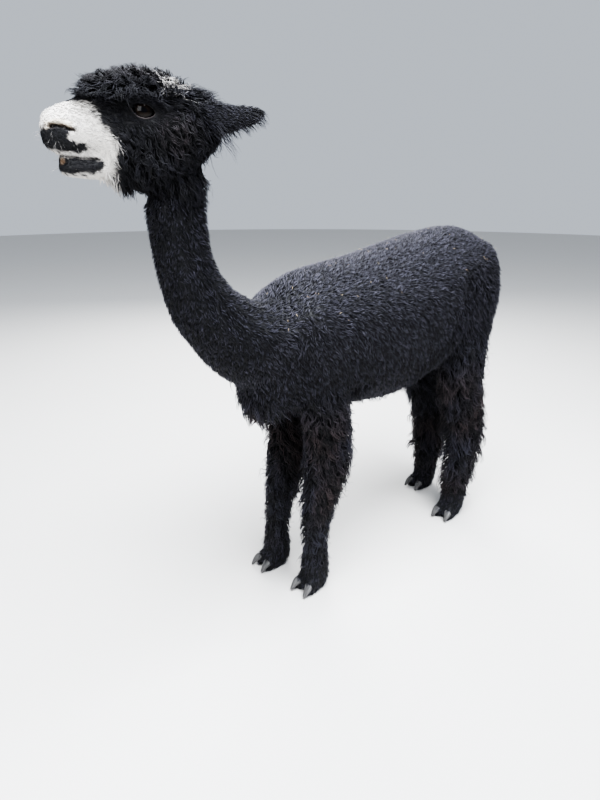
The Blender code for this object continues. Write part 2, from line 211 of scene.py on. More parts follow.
# %% Relaxing along the edges
class Web:
    """The edges of a mesh, for spreading values or places from each point to its neighbours."""

    def __init__(self, mesh):
        self.ends = numbers(mesh.edges, "vertices", 2, np.int32)
        self.size = len(mesh.vertices)
        self.count = np.bincount(self.ends.ravel(), minlength=self.size)

    def mean(self, values):
        """The mean of each point's neighbours."""
        one, other = self.ends.T
        columns = values.reshape(self.size, -1).T
        sums = [
            np.bincount(one, c[other], self.size) + np.bincount(other, c[one], self.size)
            for c in columns
        ]
        return (np.stack(sums, -1) / self.count[:, None]).reshape(values.shape)

    def spread(self, values, times, share=0.5):
        for _ in range(times):
            values = values + share * (self.mean(values) - values)
        return values

    def smooth(self, points, times, weight=1.0):
        """Taubin smoothing: it takes out facets and keeps the size."""
        for _ in range(times):
            for share in (0.55, -0.57):
                points = points + weight * share * (self.mean(points) - points)
        return points


FACET_PASSES = 90  # these take the facets out of neck, trunk and legs
FINE_PASSES = 12  # the head and the feet have small forms, which more passes would wash out
EARS_AT = (-0.15, 0, 0)

web = Web(skin.data)
points = places(skin.data)
head_and_feet = ramp(points[:, 2], 1.02, 1.08) + ramp(points[:, 2], 0.11, 0.08)
points = web.smooth(points, FACET_PASSES, (1 - head_and_feet)[:, None])
ear_roots = ramp(distance(in_head(points), EARS_AT), 0.075, 0.055)
ear_roots *= ramp(np.abs(in_head(points)[:, 1]), 0.04, 0.06)
tips = web.smooth(points, FINE_PASSES, (1 - 0.7 * ear_roots)[:, None])
set_places(skin.data, tips)
print("relaxed", len(tips), "points")

# %% [markdown]
# ## Which part each point belongs to
#
# The coat differs from part to part, so each point of the skin is asked which solid it lies
# nearest to. The answers are 1 or 0. Spread over the neighbours, they turn into soft shares, and
# the coat then changes over a few centimetres instead of at a line.

# %% Soft shares of each part
KINDS = {
    "head": ("head", "eye_"),
    "ear": ("ear_",),
    "neck": ("neck",),
    "trunk": ("trunk",),
    "tail": ("tail",),
    "fore": ("leg_front_left_upper", "leg_front_right_upper"),
    "thigh": ("leg_hind_left_upper", "leg_hind_right_upper"),
    "fore_shin": ("leg_front_left_shin", "leg_front_right_shin"),
    "hind_shin": ("leg_hind_left_shin", "leg_hind_right_shin"),
    "foot": ("foot_",),
}
BLUR = 12
EAR_BLUR = 3
solids = bvhtree.BVHTree.FromPolygons(
    [v.co for v in flesh.vertices], [tuple(p.vertices) for p in flesh.polygons]
)
nearest = [flesh_owner[solids.find_nearest(Vector(p))[2]] for p in tips]
share = {}
for kind, starts in KINDS.items():
    own = np.array([name.startswith(starts) for name in nearest], float)
    share[kind] = web.spread(own, EAR_BLUR if kind == "ear" else BLUR)
    print(kind, int(own.sum()), "points")

# %% [markdown]
# ## The depth of the coat
#
# The shorn fleece of the body is about 10 mm deep, the locks of the legs reach 26 mm, the
# forelock nearly as much, and the hair of the muzzle and toes is only a few millimetres. The
# skin is pushed inward by that depth, in small steps, each with fresh normals, so that it
# doesn't fold where it bends.

# %% Depth at every point
MM = 0.001
LEG_HEIGHTS = (0.00, 0.08, 0.16, 0.30, 0.45, 0.60)
FORE_DEPTHS = np.array((4, 5, 8, 18, 26, 20)) * MM
HIND_DEPTHS = np.array((4, 5, 12, 22, 26, 20)) * MM


def head_depth(at):
    """Depth of the coat on the head, at points in the head's axes."""
    ahead, up = at[:, 0], at[:, 2]
    muzzle = ramp(ahead, 0.050, 0.085)
    forelock = ramp(up, 0.018, 0.046) * ramp(ahead, 0.130, 0.112)
    cheek = ramp(up, -0.015, -0.070) * ramp(ahead, 0.060, 0.020)
    nape = ramp(ahead, -0.070, -0.110)
    depth = 5.5 * MM + cheek * 13 * MM + nape * 8 * MM * (1 - cheek)
    depth += forelock * (23 * MM - depth)
    depth += muzzle * (1 - forelock) * (3.2 * MM - depth)
    return depth


def coat_depth(points, share):
    height = points[:, 2]
    fore = np.interp(height, LEG_HEIGHTS, FORE_DEPTHS)
    hind = np.interp(height, LEG_HEIGHTS, HIND_DEPTHS)
    own = {
        "head": head_depth(in_head(points)), "ear": 2.2 * MM, "neck": 9 * MM,
        "trunk": 10 * MM + 4 * MM * ramp(height, 0.60, 0.50), "tail": 17 * MM, "fore": fore,
        "fore_shin": fore, "thigh": hind, "hind_shin": hind, "foot": 4 * MM,
    }
    return sum(share[kind] * own[kind] for kind in own)


depth = web.spread(coat_depth(tips, share), 6)
print("coat depth", depth.min().round(4), "to", depth.max().round(4))

# %% [markdown]
# The shears stop at the thigh: the fleece of the barrel ends there in an edge that stands proud
# of the leg behind it. The fold runs from the hip forward and down to the flank. Its line is
# kept as four heights, and the skin just behind it is sunk a little more.

# %% The fold where the barrel fleece ends
FOLD_HEIGHTS = (0.52, 0.57, 0.677, 0.80)
FOLD_AHEAD = (-0.165, -0.205, -0.286, -0.362)
FOLD_SINK = 24 * MM


def behind_fold(points):
    """How far each point of the flank lies behind the fold; negative is on the barrel."""
    return np.interp(points[:, 2], FOLD_HEIGHTS, FOLD_AHEAD) - points[:, 0]


def fold_sink(points):
    behind = behind_fold(points)
    deep = ramp(behind, -0.002, 0.006) * ramp(behind, 0.140, 0.010)
    height = ramp(points[:, 2], 0.50, 0.56) * ramp(points[:, 2], 0.88, 0.78)
    flank = ramp(np.abs(points[:, 1]), 0.075, 0.115)
    return FOLD_SINK * deep * height * flank


sink = fold_sink(tips)
print("points sunk behind the fold:", int((sink > 0.5 * FOLD_SINK).sum()))

# %% [markdown]
# In a few places the hair stands out past the solids a little: in front of the neck, at the
# nape, behind the jaw, over the brow, under the brisket and along the fold. There the skin is
# left further out, and on the rump, which was shorn closer, it is sunk. The shaggy parts of the
# legs get longer hair instead. Each place is a zone from 0 to 1 with its own millimetres, so
# either can be changed without the other.

# %% Fuller places
NAPE = from_head((-0.115, 0.0, -0.075))
BRISKET = np.array((0.275, 0.0, 0.560))
CROUP = np.array((-0.530, 0.020, 0.880))
RUFF = np.array((-0.115, 0.045, -0.058))  # this and the next are in the head's axes
FORELOCK_FRONT = np.array((0.098, 0.015, 0.050))
FULLER_MM = {
    "throat": 8, "nape": 8, "brisket": 6, "fold": 8, "ruff": 9, "forelock": 6, "croup": -5,
    "rump": -5,
}
LONGER_MM = {
    "stifle": 12, "forearm": 7, "inside_fore": 8, "inside_hind": 12, "hock": 18, "shin": 6,
    "rump": 7,
}


def band(values, low, high, soft):
    """1 between low and high, 0 well outside."""
    return ramp(values, low - soft, low + soft) * ramp(values, high + soft, high - soft)


def on_left(at):
    """Points folded over to the head's left side, so that one rule serves both sides."""
    folded = at.copy()
    folded[:, 1] = np.abs(folded[:, 1])
    return folded


def on_rump(points, share):
    """1 on the longer wool of the rump, behind the fold."""
    zone = share["trunk"] * ramp(behind_fold(points), 0.015, 0.045)
    zone *= ramp(np.abs(points[:, 1]), 0.03, 0.08)
    return zone * band(points[:, 2], 0.50, 0.84, 0.05)


def in_metres(millimetres, zones):
    return sum(millimetres[name] * zone for name, zone in zones.items()) * MM


print("fuller or sunk in", len(FULLER_MM), "places, longer in", len(LONGER_MM))

# %% [markdown]
# Most zones are the share of a part, narrowed by height, by side or by the way the skin faces.
# Both sums are then spread over the neighbours, so that no zone ends in an edge.


# %% Zones of fuller and longer hair
def fuller(points, ways, share):
    """How far the coat stands out past the solids."""
    height = points[:, 2]
    at = on_left(in_head(points))
    fold = share["trunk"] * band(behind_fold(points), -0.022, -0.004, 0.007)
    fold *= band(height, 0.54, 0.78, 0.03) * ramp(np.abs(points[:, 1]), 0.075, 0.115)
    return in_metres(FULLER_MM, {
        "throat": share["neck"] * ramp(ways[:, 0], 0.1, 0.8) * band(height, 0.76, 1.07, 0.03),
        "nape": bell(distance(points, NAPE), 0.050),
        "brisket": bell(distance(points, BRISKET), 0.045),
        "fold": fold,
        "ruff": bell(distance(at, RUFF), 0.032),
        "forelock": bell(distance(at, FORELOCK_FRONT), 0.030),
        "croup": bell(distance(points, CROUP), 0.060),
        "rump": on_rump(points, share),
    })


def shaggy(points, ways, share):
    """Extra length of the leg hair: before the thigh, behind the forearm, between the legs."""
    height, facing, inward = points[:, 2], ways[:, 0], -ways[:, 1] * np.sign(points[:, 1])
    fore = share["fore"] + share["fore_shin"]
    hind = share["thigh"] + share["hind_shin"]
    shins = share["fore_shin"] + share["hind_shin"]
    return in_metres(LONGER_MM, {
        "stifle": share["thigh"] * ramp(facing, 0.0, 0.6) * band(height, 0.40, 0.54, 0.04),
        "forearm": share["fore"] * ramp(facing, 0.1, -0.5) * band(height, 0.34, 0.50, 0.04),
        "inside_fore": fore * ramp(inward, -0.2, 0.5) * band(height, 0.22, 0.38, 0.05),
        "inside_hind": hind * ramp(inward, -0.2, 0.5) * band(height, 0.15, 0.36, 0.05),
        "hock": hind * ramp(np.abs(facing), 0.2, 0.7) * band(height, 0.15, 0.37, 0.05),
        "shin": shins * band(height, 0.07, 0.20, 0.03),
        "rump": on_rump(points, share),
    })


full = web.spread(fuller(tips, normals(skin.data), share), 4)
shag = web.spread(shaggy(tips, normals(skin.data), share), 6)
short_fold = band(behind_fold(tips), -0.010, 0.045, 0.010) * (sink + full > 0.002)
print("fuller by up to", (full.max() / MM).round(1), "mm")
print("longer by up to", (shag.max() / MM).round(1), "mm")

# %% [markdown]
# Now the skin goes in by the depth of the coat, and deeper behind the fold. It is relaxed after
# each push. The hair along the fold is made half as long, so that the edge of the fleece stays
# in sight.

# %% Pushing the skin inward
PUSHES = 6
points = tips
for _ in range(PUSHES):
    points = points - normals(skin.data) * ((depth + sink - full) / PUSHES)[:, None]
    points = web.smooth(points, 2)
    set_places(skin.data, points)
depth = (depth + shag) * (1 - 0.5 * short_fold)
print("skin lies", (distance(points, tips).mean() / MM).round(1), "mm inside the tips")

# %% [markdown]
# The forelock's solid overhangs the brow like the edge of a cap. The skin below has no such
# edge, so it is relaxed there, and longer hair hides what is left. The ears are relaxed too, as
# their rims are thin. The animal pricks them, so they are raised a little and made a little
# shorter, and their outer halves are made deeper, since a thin tip is lost among its own hairs.

# %% Relaxing the brow, raising the ears
BROW_HEIGHT = 0.027
BROW_PASSES = 60
BROW_HAIR = 8 * MM
SIDES = {"left": np.array((1, 1, 1)), "right": np.array((1, -1, 1))}
EAR_BASE = np.array((-0.095, 0.050, 0.005))
EAR_RAISED = 5 * MM
EAR_SHORT = 0.96
EAR_REACH = (0.02, 0.07, 0.13)  # from near the base of the ear to its tip
EAR_HEIGHTS = (0.80, 1.00, 1.60)  # how deep the ear is made there, against its solid


def raised_ears(points):
    """The same points, with those of the ears moved."""
    at = in_head(points)
    base = np.where(at[:, 1:2] > 0, EAR_BASE, EAR_BASE * SIDES["right"])
    from_base = distance(at, base)
    to_middle = in_head(middle("ear_left")) - EAR_BASE
    above_axis = at[:, 2] - (EAR_BASE[2] + to_middle[2] * from_base / np.linalg.norm(to_middle))
    deeper = np.interp(from_base, EAR_REACH, EAR_HEIGHTS) - 1
    move = (EAR_SHORT - 1) * (at - base)
    move[:, 2] += EAR_RAISED * ramp(from_base, 0.0, 0.13)
    move[:, 2] += deeper * above_axis * ramp(from_base, 0.01, 0.05)
    on_ear = np.clip(1.2 * web.spread(share["ear"], 8), 0, 1)
    return from_head(at + move * on_ear[:, None])


head_at = in_head(points)
brow = share["head"] * bell(head_at[:, 2] - BROW_HEIGHT, 0.020) * ramp(head_at[:, 0], 0.135, 0.115)
for _ in range(BROW_PASSES):
    points = points + 0.5 * brow[:, None] * (web.mean(points) - points)
points = raised_ears(web.smooth(points, 10, ear_roots[:, None]))
depth = depth + BROW_HAIR * brow * ramp(head_at[:, 2], 0.040, 0.030)
under_chin = share["head"] * ramp(normals(skin.data)[:, 2], -0.1, -0.6) * ramp(head_at[:, 0], 0.06, 0.04)
depth = depth * (1 - 0.45 * under_chin)
set_places(skin.data, points)
print("points relaxed under the brow:", int((brow > 0.5).sum()))

# %% [markdown]
# ## A finer head
#
# The body hides under its fleece, but on the face the skin shows its folds. So a Decimate
# modifier thins the faces of the body, and those of the face are divided once, and round the
# eyes, nostrils and mouth once more. The shares and the depth are stored on the mesh first,
# since both steps carry such values over to the new points.

# %% Dividing where the detail is
EYE_AT = in_head(middle("eye_left"))
EYE_RADIUS = (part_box("eye_left")[1].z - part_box("eye_left")[0].z) / 2
BODY_KEPT = 0.36  # share of the skin's faces that stay
THINNED_BELOW = 1.02


def keep_values(mesh, values):
    for name, value in values.items():
        layer = mesh.attributes.get(name) or mesh.attributes.new(name, "FLOAT", "POINT")
        layer.data.foreach_set("value", value.astype(np.float32))


def kept_values(mesh, names):
    return {name: numbers(mesh.attributes[name].data, "value").astype(float) for name in names}


def divide(mesh, chosen):
    """Divides the edges whose ends are both chosen."""
    bm = bmesh.new()
    bm.from_mesh(mesh)
    bm.verts.ensure_lookup_table()
    edges = [e for e in bm.edges if chosen[e.verts[0].index] and chosen[e.verts[1].index]]
    bmesh.ops.subdivide_edges(bm, edges=edges, cuts=1, use_grid_fill=True)
    bm.to_mesh(mesh)
    bm.free()


def within(values, low, high):
    return (values > low) & (values < high)


def on_face(at):
    return within(at[:, 2], -0.12, 0.06) & (at[:, 0] > -0.035)


def on_details(at):
    """Round the mouth, nostrils and eyes."""
    lips = within(at[:, 2], -0.095, -0.010) & (at[:, 0] > 0.075)
    return lips | (distance(on_left(at), EYE_AT) < 0.036)


under_fleece = skin.vertex_groups.new(name="under_fleece")
for number, height in enumerate(places(skin.data)[:, 2]):
    if height < THINNED_BELOW:
        under_fleece.add([number], 1.0, "ADD")
keep_values(skin.data, {**share, "depth": depth})
thin = skin.modifiers.new("fewer_faces", "DECIMATE")
thin.ratio = BODY_KEPT
thin.vertex_group = under_fleece.name
skin.data = modified(skin)
skin.modifiers.clear()
for chooser in (on_face, on_details):
    divide(skin.data, chooser(in_head(places(skin.data))))
share = kept_values(skin.data, share)
depth = kept_values(skin.data, ["depth"])["depth"]
web = Web(skin.data)
points = places(skin.data)
finer = ramp(in_head(points)[:, 2], -0.17, -0.14)
points = web.smooth(points, 4, finer[:, None])
print("skin now has", len(skin.data.polygons), "faces")

# %% [markdown]
# ## The face
#
# The mouth is a shallow slit between two padded lips, and the upper lip is split in front. The
# nostril is a slanting slit with a soft rim above it. Each is a groove: points near its line are
# pushed in by a depth that fades like a bell curve.


# %% Mouth, lip and nostril
def to_line(flat, line):
    """Distance of points in a plane to a bent line."""
    best = np.full(len(flat), 9.0)
    for a, b in zip(np.array(line[:-1]), np.array(line[1:])):
        t = np.clip(((flat - a) @ (b - a)) / ((b - a) @ (b - a)), 0, 1)
        best = np.minimum(best, np.linalg.norm(flat - a - t[:, None] * (b - a), axis=1))
    return best


MOUTH_LINE = ((0.190, -0.073), (0.165, -0.0745), (0.126, -0.0785), (0.102, -0.0795), (0.086, -0.082))
NOSTRIL_LINE = ((0.165, -0.027), (0.152, -0.025), (0.138, -0.029), (0.124, -0.034))
MOUTH_DEEP = 0.0050
NOSTRIL_DEEP = 0.0065
NOSTRIL_RIM = 0.0016
LIP_SPLIT = 0.0022


def carve_face(points, way):
    at = in_head(points)
    flat = at[:, (0, 2)]
    on_side = ramp(np.abs(at[:, 1]), 0.012, 0.020)
    mouth = bell(to_line(flat, MOUTH_LINE), 0.0026)
    slit = bell(to_line(flat, NOSTRIL_LINE), 0.0028) * on_side
    rim = bell(to_line(flat + (0, -0.0065), NOSTRIL_LINE), 0.0040) * on_side
    split = bell(at[:, 1], 0.0020) * ramp(at[:, 0], 0.150, 0.165) * ramp(at[:, 2], -0.034, -0.042)
    split *= ramp(at[:, 2], -0.074, -0.068)
    out = -MOUTH_DEEP * mouth - NOSTRIL_DEEP * slit + NOSTRIL_RIM * rim - LIP_SPLIT * split
    return points + way * out[:, None]


set_places(skin.data, points)
carved = carve_face(points, normals(skin.data))
print("points carved by more than 1 mm:", int((distance(carved, points) > MM).sum()))
points = carved
set_places(skin.data, points)

# %% [markdown]
# ## The eyelids
#
# An alpaca's eye fills an opening 40 mm long. The lids are a thin skin that wraps the ball, with
# an almond opening that slants down to the back. So the skin near the eye is lifted on to a
# ball a little larger than the eye's, and inside the almond it is pushed behind the eye's
# surface. What is left is a rim as thick as the lid.

# %% Lids round the ball
BALL_RADIUS = 1.2 * EYE_RADIUS  # what shows between the lids is the front of a larger ball
LID = 1.8 * MM
LID_BLEND = 0.003  # how softly the lid leaves the face
LID_REACH = 0.040
ALMOND_SLANT = math.radians(14)
ALMOND_LONG, ALMOND_UPPER, ALMOND_LOWER = 0.0205, 0.0098, 0.0124
GAZE = unit(np.array((0.22, 0.975, 0.0)))
SLANTED = np.array((math.cos(ALMOND_SLANT), 0.0, math.sin(ALMOND_SLANT)))
ALONG_LID = unit(SLANTED - GAZE * (SLANTED @ GAZE))
OVER_LID = np.cross(ALONG_LID, GAZE)
EYE_AXES = np.array((ALONG_LID, OVER_LID, GAZE))
BALL_AT = EYE_AT - GAZE * (BALL_RADIUS - EYE_RADIUS)


def in_eye(points):
    """Points in the axes of the eye on their side of the head: along, over, out."""
    return (on_left(in_head(points)) - BALL_AT) @ EYE_AXES.T


def almond(eye):
    """Below 1 inside the opening of the lids, 1 on its edge."""
    along = np.abs(eye[:, 0]) / ALMOND_LONG
    reach = np.where(eye[:, 1] > 0, ALMOND_UPPER, ALMOND_LOWER)
    return (along**2.2 + (np.abs(eye[:, 1]) / reach) ** 1.5) ** 0.6


def wrap_lids(points):
    """The points with the lids wrapped round the ball, and 1 where they lie in the opening."""
    eye = in_eye(points)
    out, away = eye[:, 2], np.hypot(eye[:, 0], eye[:, 1])
    near = (away < LID_REACH) & (out > 0)
    lid_ball = BALL_RADIUS + LID
    cap = np.sqrt(np.maximum(lid_ball**2 - away**2, 0))
    cap = np.where(away < lid_ball, cap, -0.02)
    face = np.where(near, out, 0)
    lifted = LID_BLEND * np.logaddexp(face / LID_BLEND, cap / LID_BLEND)
    behind = np.sqrt(np.maximum((BALL_RADIUS - 3 * MM) ** 2 - away**2, 0))
    opening = ramp(almond(eye), 1.02, 0.94)
    target = lifted + opening * (behind - lifted)
    move = np.where(near, target - out, 0) * ramp(away, LID_REACH, 0.026)
    gaze = np.where(in_head(points)[:, 1:2] > 0, GAZE, GAZE * SIDES["right"])
    return points + (from_head(gaze) - HEAD) * move[:, None], opening * near


points, opening = wrap_lids(points)
set_places(skin.data, points)
skin.data.shade_smooth()
print("points inside the lids:", int((opening > 0.5).sum()))

# %% [markdown]
# ## An unwrap of the skin
#
# Each lock takes its place on the unwrap from the skin under its root, so the skin is unwrapped by
# its own shape into flat islands. Smart UV Project does that from the face angles alone.

# %% Unwrapping
SHARPEST = math.radians(66)  # faces that meet at a larger angle go to different islands
bpy.context.view_layer.objects.active = skin
skin.select_set(True)
bpy.ops.object.mode_set(mode="EDIT")
bpy.ops.mesh.select_all(action="SELECT")
skin.data.uv_layers.new(name="OFBake")
bpy.ops.uv.smart_project(angle_limit=SHARPEST, island_margin=0.001)
bpy.ops.object.mode_set(mode="OBJECT")
print("unwrapped", len(skin.data.uv_layers["OFBake"].data), "corners")

# %% [markdown]
# ## Markings
#
# The animal is black. Its muzzle is white up to a ragged line in front of the cheeks, except for
# a black patch round the nostrils and mouth, with black lips and chin. There are a white spot
# beside the forelock and a small fleck on the cheek. The hair and the skin under it must agree,
# so each marking is a share from 0 to 1 that is worked out once, at every point of the skin,
# and handed on to the hair that roots there. The outlines are drawn on the head's side view.

# %% Outlines on the face
WHITE_EDGE = (
    (-0.145, 0.055), (-0.108, 0.061), (-0.088, 0.058), (-0.066, 0.049), (-0.050, 0.053),
    (-0.032, 0.070), (-0.018, 0.080), (-0.002, 0.087), (0.011, 0.091), (0.020, 0.101),
    (0.035, 0.121),
)
NOSE_PATCH = (
    (0.172, -0.027), (0.151, -0.020), (0.119, -0.030), (0.139, -0.042), (0.128, -0.051),
    (0.102, -0.056), (0.110, -0.0685), (0.126, -0.0710), (0.160, -0.0690), (0.200, -0.058),
    (0.200, -0.036),
)
CHIN_PATCH = (
    (0.200, -0.0735), (0.125, -0.0790), (0.098, -0.0800), (0.084, -0.0815), (0.0775, -0.089),
    (0.083, -0.100), (0.096, -0.106), (0.124, -0.108), (0.146, -0.1085), (0.200, -0.106),
)
NOSTRIL_TOP = ((0.172, -0.024), (0.152, -0.019), (0.128, -0.027))
FRAY = 0.0024


def frayed(at):
    """The side view of points of the head, shaken a little so that outlines come out ragged."""
    return at[:, (0, 2)] + FRAY * np.stack((ripple(at, 0.012, 3), ripple(at, 0.012, 4)), 1)


def inside(flat, outline, soft):
    """1 inside a closed outline and 0 outside."""
    around = np.array((*outline, outline[0]))
    turns = np.zeros(len(flat))
    for a, b in zip(around[:-1], around[1:]):
        one, other = flat - a, flat - b
        turns += np.arctan2(one[:, 0] * other[:, 1] - one[:, 1] * other[:, 0], (one * other).sum(1))
    signed = to_line(flat, around) * np.where(np.abs(turns) > math.pi, -1, 1)
    return ramp(signed, soft, -soft)


def blob(at, centre, radii, soft):
    """1 inside an ellipsoid and 0 outside."""
    return ramp(np.linalg.norm((at - centre) / radii, axis=1), 1 + soft, 1 - soft)


points = places(skin.data)
in_patch = inside(in_head(points)[:, (0, 2)], NOSE_PATCH, MM) > 0.5
print("points in the black patch of the nose:", int(in_patch.sum()))

# %% [markdown]
# Most markings are full inside their outline and fade over a centimetre or two. Where the white
# of the muzzle, the spots and the fleck meet, the greatest share counts. The line of the mouth,
# the nostrils and the edges of the lids have bare skin.

# %% White, tan and bare skin
WHITE_SPOT = ((-0.048, 0.066, 0.044), (0.029, 0.024, 0.022), 0.2)
SPOT_BEHIND = ((-0.073, 0.068, 0.028), (0.010, 0.020, 0.014), 0.5)
CHEEK_FLECK = (0.009, 0.070, -0.053)
TAN_LIP = (0.154, 0.015, -0.084)


def white_share(at, flat, share):
    """The muzzle without its black patches, the two spots and the fleck."""
    edge = np.interp(flat[:, 1], *np.array(WHITE_EDGE).T)
    muzzle = ramp(flat[:, 0] - edge, -0.013, 0.012) * ramp(at[:, 2], 0.020, 0.012)
    muzzle = muzzle * (1 - inside(flat, NOSE_PATCH, 0.0045)) * (1 - inside(flat, CHIN_PATCH, 0.0040))
    spot = np.maximum(blob(at, *WHITE_SPOT), 0.6 * blob(at, *SPOT_BEHIND))
    fleck = 0.8 * ramp(distance(at, CHEEK_FLECK), 0.012, 0.004)
    return np.maximum(muzzle, np.maximum(spot, fleck)) * np.clip(share["head"] * 2, 0, 1)


def tan_share(at, flat):
    """A tan fleck on the lower lip and a tan rim over the nostril."""
    fleck = 0.7 * ramp(distance(at, TAN_LIP), 0.009, 0.004)
    return np.maximum(fleck, 0.4 * bell(to_line(flat, NOSTRIL_TOP), 0.0045))


def bare_share(at, flat, eye):
    """Skin without hair: the line of the mouth, the nostrils and the edges of the lids."""
    lips = bell(to_line(at[:, (0, 2)], MOUTH_LINE), 0.0018) + bell(to_line(flat, NOSTRIL_LINE), 0.0030)
    lid = ramp(almond(eye), 1.22, 1.10) * (eye[:, 2] > 0)
    return np.maximum(np.clip(lips * ramp(at[:, 0], 0.08, 0.09), 0, 1), lid)


def pale_share(eye):
    """The wet edge of the lower lid, which catches the light."""
    edge = ramp(almond(eye), 1.14, 1.08) * ramp(almond(eye), 0.90, 0.98) * (eye[:, 2] > 0)
    return edge * ramp(eye[:, 1], 0.001, -0.003)


is_white = white_share(in_head(points), frayed(in_head(points)), share) > 0.5
print("white points:", int(is_white.sum()))

# %% [markdown]
# Black hair is never quite black. It is brownish where the sun has bleached it, on the legs and
# in the curls. The top of the back is lighter and bluer: partly dust in its tips, partly painted
# sheen of the light from above. Grey wisps stand in the forelock, and the edge of the barrel's
# fleece has a painted highlight. Two more shares do the work that light can't do between locks as
# coarse as these: shade is painted shade in the hollow behind the fold and below it, and also
# makes the head, the ears and the legs darker, and the share of dust and sheen evens out the back.

# %% Brown, grey, painted shade, dust and painted sheen
UNDER_BRISKET = BRISKET - (0, 0, 0.03)
BROWN_CURLS = ((-0.055, 0.075, -0.045), (0.040, 0.030, 0.040), 0.5)


def all_legs(share):
    return share["fore"] + share["thigh"] + share["fore_shin"] + share["hind_shin"]


def on_flank(points):
    return band(points[:, 2], 0.53, 0.78, 0.03) * ramp(np.abs(points[:, 1]), 0.06, 0.10)


def brown_share(points, share):
    """Patches on the legs, the curls behind the cheek, the brisket's tuft and the forelock."""
    at = in_head(points)
    brown = all_legs(share) * ramp(ripple(points, 0.16, 5), -0.7, 1.0)
    brown = brown * ramp(points[:, 2], 0.60, 0.45) * 0.8
    brown += blob(at, *BROWN_CURLS) * 0.6 + bell(distance(points, UNDER_BRISKET), 0.03)
    brown += share["head"] * ramp(at[:, 2], 0.02, 0.05) * 0.5
    return np.clip(brown, 0, 1)


def grey_and_highlight_share(points, share):
    """Wisps in the forelock, most at its front, and a painted highlight on the edge of the barrel's
    fleece.
    """
    at = in_head(points)
    grey_and_highlight = share["head"] * ramp(at[:, 2], 0.03, 0.05) * ramp(ripple(at, 0.04, 6), -0.6, 0.6)
    grey_and_highlight += 0.8 * share["head"] * ramp(at[:, 2], 0.028, 0.040) * ramp(at[:, 0], 0.04, 0.08)
    # painted highlight where the edge of the barrel's fleece catches the light
    edge = band(behind_fold(points), -0.010, 0.001, 0.004) * on_flank(points)
    return grey_and_highlight + 0.6 * edge * share["trunk"]


def shade_share(points, share):
    """How much darker the hair is: painted shade behind the fold and below it, darker head, ears and legs.
    """
    at = in_head(points)
    behind = behind_fold(points)
    # painted shade in the band behind the fold and in the hollow below it, where the fleece shades the
    # thigh
    fold = band(behind, 0.004, 0.048, 0.008) * on_flank(points)
    hollow = band(behind, 0.010, 0.085, 0.020) * band(points[:, 2], 0.50, 0.62, 0.04)
    hollow = 0.8 * hollow * ramp(np.abs(points[:, 1]), 0.05, 0.09)
    # the head, darkest on the face below the forelock, and the ears and legs are only made darker
    head = 0.60 + 0.20 * ramp(at[:, 0], -0.03, 0.02) * ramp(at[:, 2], 0.03, 0.015)
    limbs = 0.2 * all_legs(share) + 0.4 * share["ear"]
    return np.maximum.reduce((fold, hollow, share["head"] * head, limbs))


def markings(points, share):
    """All shares at once, by name."""
    at = in_head(points)
    flat, eye = frayed(at), in_eye(points)
    return {
        "white": white_share(at, flat, share), "brown": brown_share(points, share),
        "tan": tan_share(at, flat), "grey_and_highlight": grey_and_highlight_share(points, share),
        "bare": bare_share(at, flat, eye), "pale": pale_share(eye),
        # dust and painted sheen: lighter, bluer tips higher up the trunk
        "shade": shade_share(points, share), "dust_and_sheen": share["trunk"] * ramp(points[:, 2], 0.58, 0.72),
    }


marks = markings(points, share)
keep_values(skin.data, {**marks, "along": np.zeros(len(points)), "tone": np.full(len(points), 0.5)})
print({name: round(float(value.mean()), 4) for name, value in marks.items()})

# %% [markdown]
# ## The lie of the coat
#
# Hair lies the way rain runs off. It runs down the neck, down and a little back on the barrel,
# straight back along the spine, down the legs and forward over the toes. On the face it runs
# back from the nose, and the forelock spreads from a crown behind the ears. One direction is
# named for each part, mixed by the shares, and laid flat on the skin. On the back this turns
# "down and a little back" into "back" without any further rule.

# %% One direction at every point
CROWN = np.array((-0.075, 0.0, 0.050))
LIES = {
    "neck": (-0.20, 0, -1), "trunk": (-0.38, 0, -1), "tail": (-0.15, 0, -1),
    "fore": (-0.22, 0, -1), "thigh": (-0.20, 0, -1), "fore_shin": (-0.15, 0, -1),
    "hind_shin": (-0.10, 0, -1), "foot": (0.45, 0, -1),
}


def head_lie(at):
    forelock = (ramp(at[:, 2], 0.018, 0.040) * ramp(at[:, 0], 0.130, 0.110))[:, None]
    cheek = (ramp(at[:, 2], -0.010, -0.050) * ramp(at[:, 0], 0.075, 0.035))[:, None]
    back = ramp(at[:, 0], -0.050, -0.090)[:, None]
    face = np.array((-1, 0, -0.30))
    front_top = ramp(at[:, 0], 0.050, 0.095) * ramp(at[:, 2], 0.030, 0.052)
    spread = unit((at - CROWN) * (1, 1, 0.3)) + UP * (front_top * 1.1 - 0.5)[:, None]
    way = face + cheek * (np.array((-0.35, 0, -1)) - face)
    way = way + back * (np.array((-0.45, 0, -1)) - way)
    return way + forelock * (spread - way)


def ear_lie(at):
    """Along the ear on its own side, to the tip."""
    ways = {}
    for side, mirror in SIDES.items():
        base = EAR_BASE * mirror
        ways[side] = unit(in_head(middle("ear_" + side)) - base + (0, 0, EAR_RAISED / 2))
    return np.where(at[:, 1:2] > 0, ways["left"], ways["right"])


BACKWARD = np.array((-1, 0, -0.15))
ALONG_FOLD = np.array((0.85, 0, -1))


